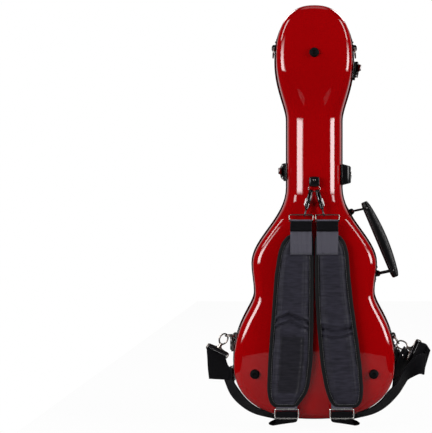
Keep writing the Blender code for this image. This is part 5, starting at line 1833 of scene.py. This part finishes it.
    def lower_webbing(self, word: str, side: int) -> None:
        """Webbing from the slider round the case's edge to the snap hook's wide eye.

        Args:
            word: left or right.
            side: 1 for the left strap, -1 for the right.
        """
        low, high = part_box(f"{word}_slider")
        bar = middle_of(f"{word}_slider")
        bar.z = low.z + self.bar_radius
        flat = X_AXIS * side
        path = [(Vector((bar.x, bar.y + self.bar_turn, high.z - self.bar_radius - 0.004)), flat)]
        path += [(centre, flat) for centre in reversed(self.wrap(bar, -Z_AXIS, self.bar_turn)[2:])]
        path += [(self.form.world(bar.x + side * out, y, z), Vector((side * across[0], *across[1:])))
                 for (out, y, z), across in self.foot_turn]
        path += [self.beside_wall(side, z, y, lean) for (z, y), lean in zip(self.beside, self.leans[side])]
        path += self.beyond(side, self.climbs[side]) + self.over_hook(side)
        self.ribbon(f"{word}_lower_strap", path, self.palette.webbing, [f"{word}_lower_webbing"])

    def over_hook(self, side: int) -> list[tuple[Vector, Vector]]:
        """The webbing's last stretch, over the hook's bar. The left one's end hangs down in front.

        Args:
            side: 1 for the left strap, -1 for the right.

        Returns:
            The (centre, width direction) stations.
        """
        bar, direction = self.eye_bar(side)
        across = side * Y_AXIS.cross(direction)
        reach = 0.0015 + 2 * CLEARANCE + self.webbing_wall / 2
        over = [(centre, across) for centre in self.wrap(bar, -direction, reach)]
        if side > 0:
            end = [(bar + Vector((-0.12 * drop - 0.0010, reach + 0.0040 * lean, -drop)),
                    across.lerp(-X_AXIS, lean * 1.6)) for drop, lean in self.front_drops]
            return [(bar + Vector((-0.0060, -reach, -0.0150)), across + Vector((0.10, 0.30, 0.10))), *over, *end]
        return [(bar + direction * 0.012 - Y_AXIS * reach, across), *over,
                (bar + direction * 0.010 + Y_AXIS * reach, across)]

    @staticmethod
    def eye_bar(side: int) -> tuple[Vector, Vector]:
        """The middle of the lower hook's bar, and the direction in which the hook hangs.

        Args:
            side: 1 for the left strap, -1 for the right.

        Returns:
            The bar's middle and the hook's direction.
        """
        tilt = math.radians(27.0 if side > 0 else 65.0)
        direction = Vector((side * math.sin(tilt), 0.0, -math.cos(tilt)))
        node = frame["nodes"]["left_lower_hook" if side > 0 else "right_lower_hook"]
        far = max(vert.co.dot(direction) for vert in node.data.vertices)
        near = [vert.co for vert in node.data.vertices if vert.co.dot(direction) > far - 0.0032]
        middle = sum(near, Vector()) / len(near)
        return middle + direction * (far - 0.0015 - middle.dot(direction)), direction

    def eye_plate(self, word: str, side: int) -> None:
        """The cast bridge between the two bars of the lower hook's wide eye.

        Args:
            word: left or right.
            side: 1 for the left strap, -1 for the right.
        """
        bar, direction = self.eye_bar(side)
        across = direction.cross(Y_AXIS)
        hung = axes_at(bar - direction * 0.0072, across, across.cross(direction), direction)
        place(f"{word}_hook_bridge", moved(block(self.bridge_size, 0.0012, 3), hung), self.palette.dark)


# ---------------------------------------------------------------- studio

@dataclass
class Studio:
    """Camera, pale floor and soft lights.

    boxes are (bearing, width) and highs (bearing, height, level), bearings in degrees from the back of the case.
    The fades are shares of a lamp's width, foot and top. behind and above are the (start, end, low level, high
    level) of the white that mirrors see past the case and overhead, over the view's Y and Z.
    """

    form: CaseForm
    camera_distance: float = 2.1
    field_width: float = 0.797
    eye_height: float = 0.365
    shift: float = -0.2269
    floor_back: float = -3.0
    floor_front: float = 1.25
    floor_half: float = 0.52
    floor_level: float = 0.50
    floor_glow: float = 0.965
    floor_mirrored: float = 0.30
    daylight: float = 0.07
    behind: ClassVar = (-0.55, -0.80, 0.012, 0.50)
    above: ClassVar = (0.93, 0.985, 0.0, 1.0)
    boxes: ClassVar = ((46.0, 1.22), (-66.0, 1.12))
    box_distance: float = 2.0
    box_level: float = 15.5
    box_foot: float = 0.250
    box_height: float = 1.050
    box_fade: Triple = (0.20, 0.15, 0.50)
    highs: ClassVar = ((68.0, 1.66, 10.0), (-68.0, 1.66, 10.0), (145.0, 2.10, 14.0), (-145.0, 2.10, 14.0))
    high_distance: float = 1.8
    high_size: tuple[float, float] = (0.70, 0.95)
    high_aim: float = 0.45
    high_fade: Triple = (0.30, 0.10, 0.10)

    def build(self) -> None:
        """Builds the studio."""
        self.view()
        self.world()
        self.floor()
        self.lamps()
        bpy.context.scene.view_settings.view_transform = "Standard"

    def view(self) -> None:
        """A level camera behind the case."""
        data = bpy.data.cameras.new("camera")
        data.sensor_width = 36.0
        data.lens = 36.0 * self.camera_distance / self.field_width
        data.shift_x = self.shift
        data.clip_end = 50.0
        camera = bpy.data.objects.new("camera", data)
        camera.location = (0.0, self.form.seam_y + self.camera_distance, self.form.foot + self.eye_height)
        camera.rotation_euler = (math.radians(90.0), 0.0, math.radians(180.0))
        bpy.context.scene.collection.objects.link(camera)
        bpy.context.scene.camera = camera

    def world(self) -> None:
        """White to the camera and behind the case, plain daylight for everything that is lit."""
        world = bpy.data.worlds.new("studio")
        bpy.context.scene.world = world
        world.use_nodes = True
        graph = Graph(world.node_tree)
        graph.tree.nodes.clear()
        camera, passed, glossy = graph.rays("Camera", "Transmission", "Glossy")
        y, z = graph.parts(graph.add("ShaderNodeTexCoord", output="Generated"), "YZ")
        seen = graph.larger(camera, passed)
        mirrored = glossy * graph.larger(graph.smooth(y, *self.behind), graph.smooth(z, *self.above))
        lit = (1 - graph.larger(seen, glossy)) * self.daylight
        shine = graph.add("ShaderNodeBackground", None, {"Color": grey(1.0), "Strength": seen + mirrored + lit})
        graph.feed(graph.tree.nodes.new("ShaderNodeOutputWorld").inputs["Surface"], shine)

    def floor(self) -> None:
        """A pale floor that looks white and keeps the case's shadow."""
        graph = MaterialGraph("pale_floor")
        graph.surface(Base_Color=grey(self.floor_level), Roughness=0.9, Specular_IOR_Level=0.1)
        camera, glossy = graph.rays("Camera", "Glossy")
        dim = graph.add("ShaderNodeBsdfDiffuse", None, {"Color": grey(self.floor_mirrored)})
        plain = graph.blend(glossy, Field(graph, graph.shader.outputs[0]), dim)
        glow = graph.add("ShaderNodeEmission", None, {"Strength": 1.0})
        graph.feed(graph.output.inputs[0], graph.blend(camera * self.floor_glow, plain, glow))
        front = self.form.seam_y + self.floor_front
        bm = bmesh.new()
        bmesh.ops.create_grid(bm, x_segments=1, y_segments=1, size=1.0)
        bmesh.ops.scale(bm, vec=(self.floor_half, (front - self.floor_back) / 2, 1.0), verts=bm.verts)
        bmesh.ops.translate(bm, vec=(0.0, (front + self.floor_back) / 2, 0.0), verts=bm.verts)
        data = bpy.data.meshes.new("floor")
        bm.to_mesh(data)
        bm.free()
        data.materials.append(graph.material)
        floor = bpy.data.objects.new("floor", data)
        bpy.context.scene.collection.objects.link(floor)

    def lamps(self) -> None:
        """Upright softboxes beside the camera, and high strips on all sides."""
        middle = self.form.foot + self.box_foot + self.box_height / 2
        for degrees, width in self.boxes:
            facing = self.facing(degrees)
            spot = facing * self.box_distance + Vector((0.0, self.form.seam_y, middle))
            self.lamp(f"softbox_{degrees:.0f}", spot, -facing, (width, self.box_height), self.box_level,
                      self.box_fade)
        for degrees, height, level in self.highs:
            spot = self.facing(degrees) * self.high_distance + Vector((0.0, self.form.seam_y, height))
            aim = Vector((0.0, self.form.seam_y, self.form.foot + self.high_aim)) - spot
            self.lamp(f"high_strip_{degrees:.0f}", spot, aim, self.high_size, level, self.high_fade)

    @staticmethod
    def facing(degrees: float) -> Vector:
        """The level direction at a bearing from the back of the case."""
        return Vector((math.sin(math.radians(degrees)), math.cos(math.radians(degrees)), 0.0))

    @staticmethod
    def lamp(name: str, location: Vector, aim: Vector, size: tuple[float, float], level: float,
             fade: Triple) -> None:
        """Adds a soft rectangular lamp.

        Args:
            name: the lamp's name.
            location: its middle.
            aim: the direction in which it shines.
            size: its width and height.
            level: its brightness.
            fade: the shares of its width, foot and top that fade.
        """
        data = bpy.data.lights.new(name, "AREA")
        data.shape = "RECTANGLE"
        data.size, data.size_y = size
        data.energy = level * size[0] * size[1] * math.pi
        lamp = bpy.data.objects.new(name, data)
        lamp.location = location
        lamp.rotation_euler = aim.to_track_quat("-Z", "Y").to_euler()
        bpy.context.scene.collection.objects.link(lamp)
        LampGraph(data).fade(*fade)


def main() -> None:
    """Builds the dressed case and its studio."""
    logging.basicConfig(level=logging.INFO, format="%(message)s")
    form = CaseForm.from_frame()
    palette = Palette()
    back = Shells(form, palette).build()
    head = form.height - form.head_drop
    latches = {"head_latch": (-1, head - 0.014), "lower_latch": (-1, 0.112), "neck_latch": (1, 0.447)}
    Hardware(form, palette, latches, back).build()
    Handle(palette).build()
    Straps(form, palette).build()
    Studio(form).build()


if __name__ == "__main__":
    main()
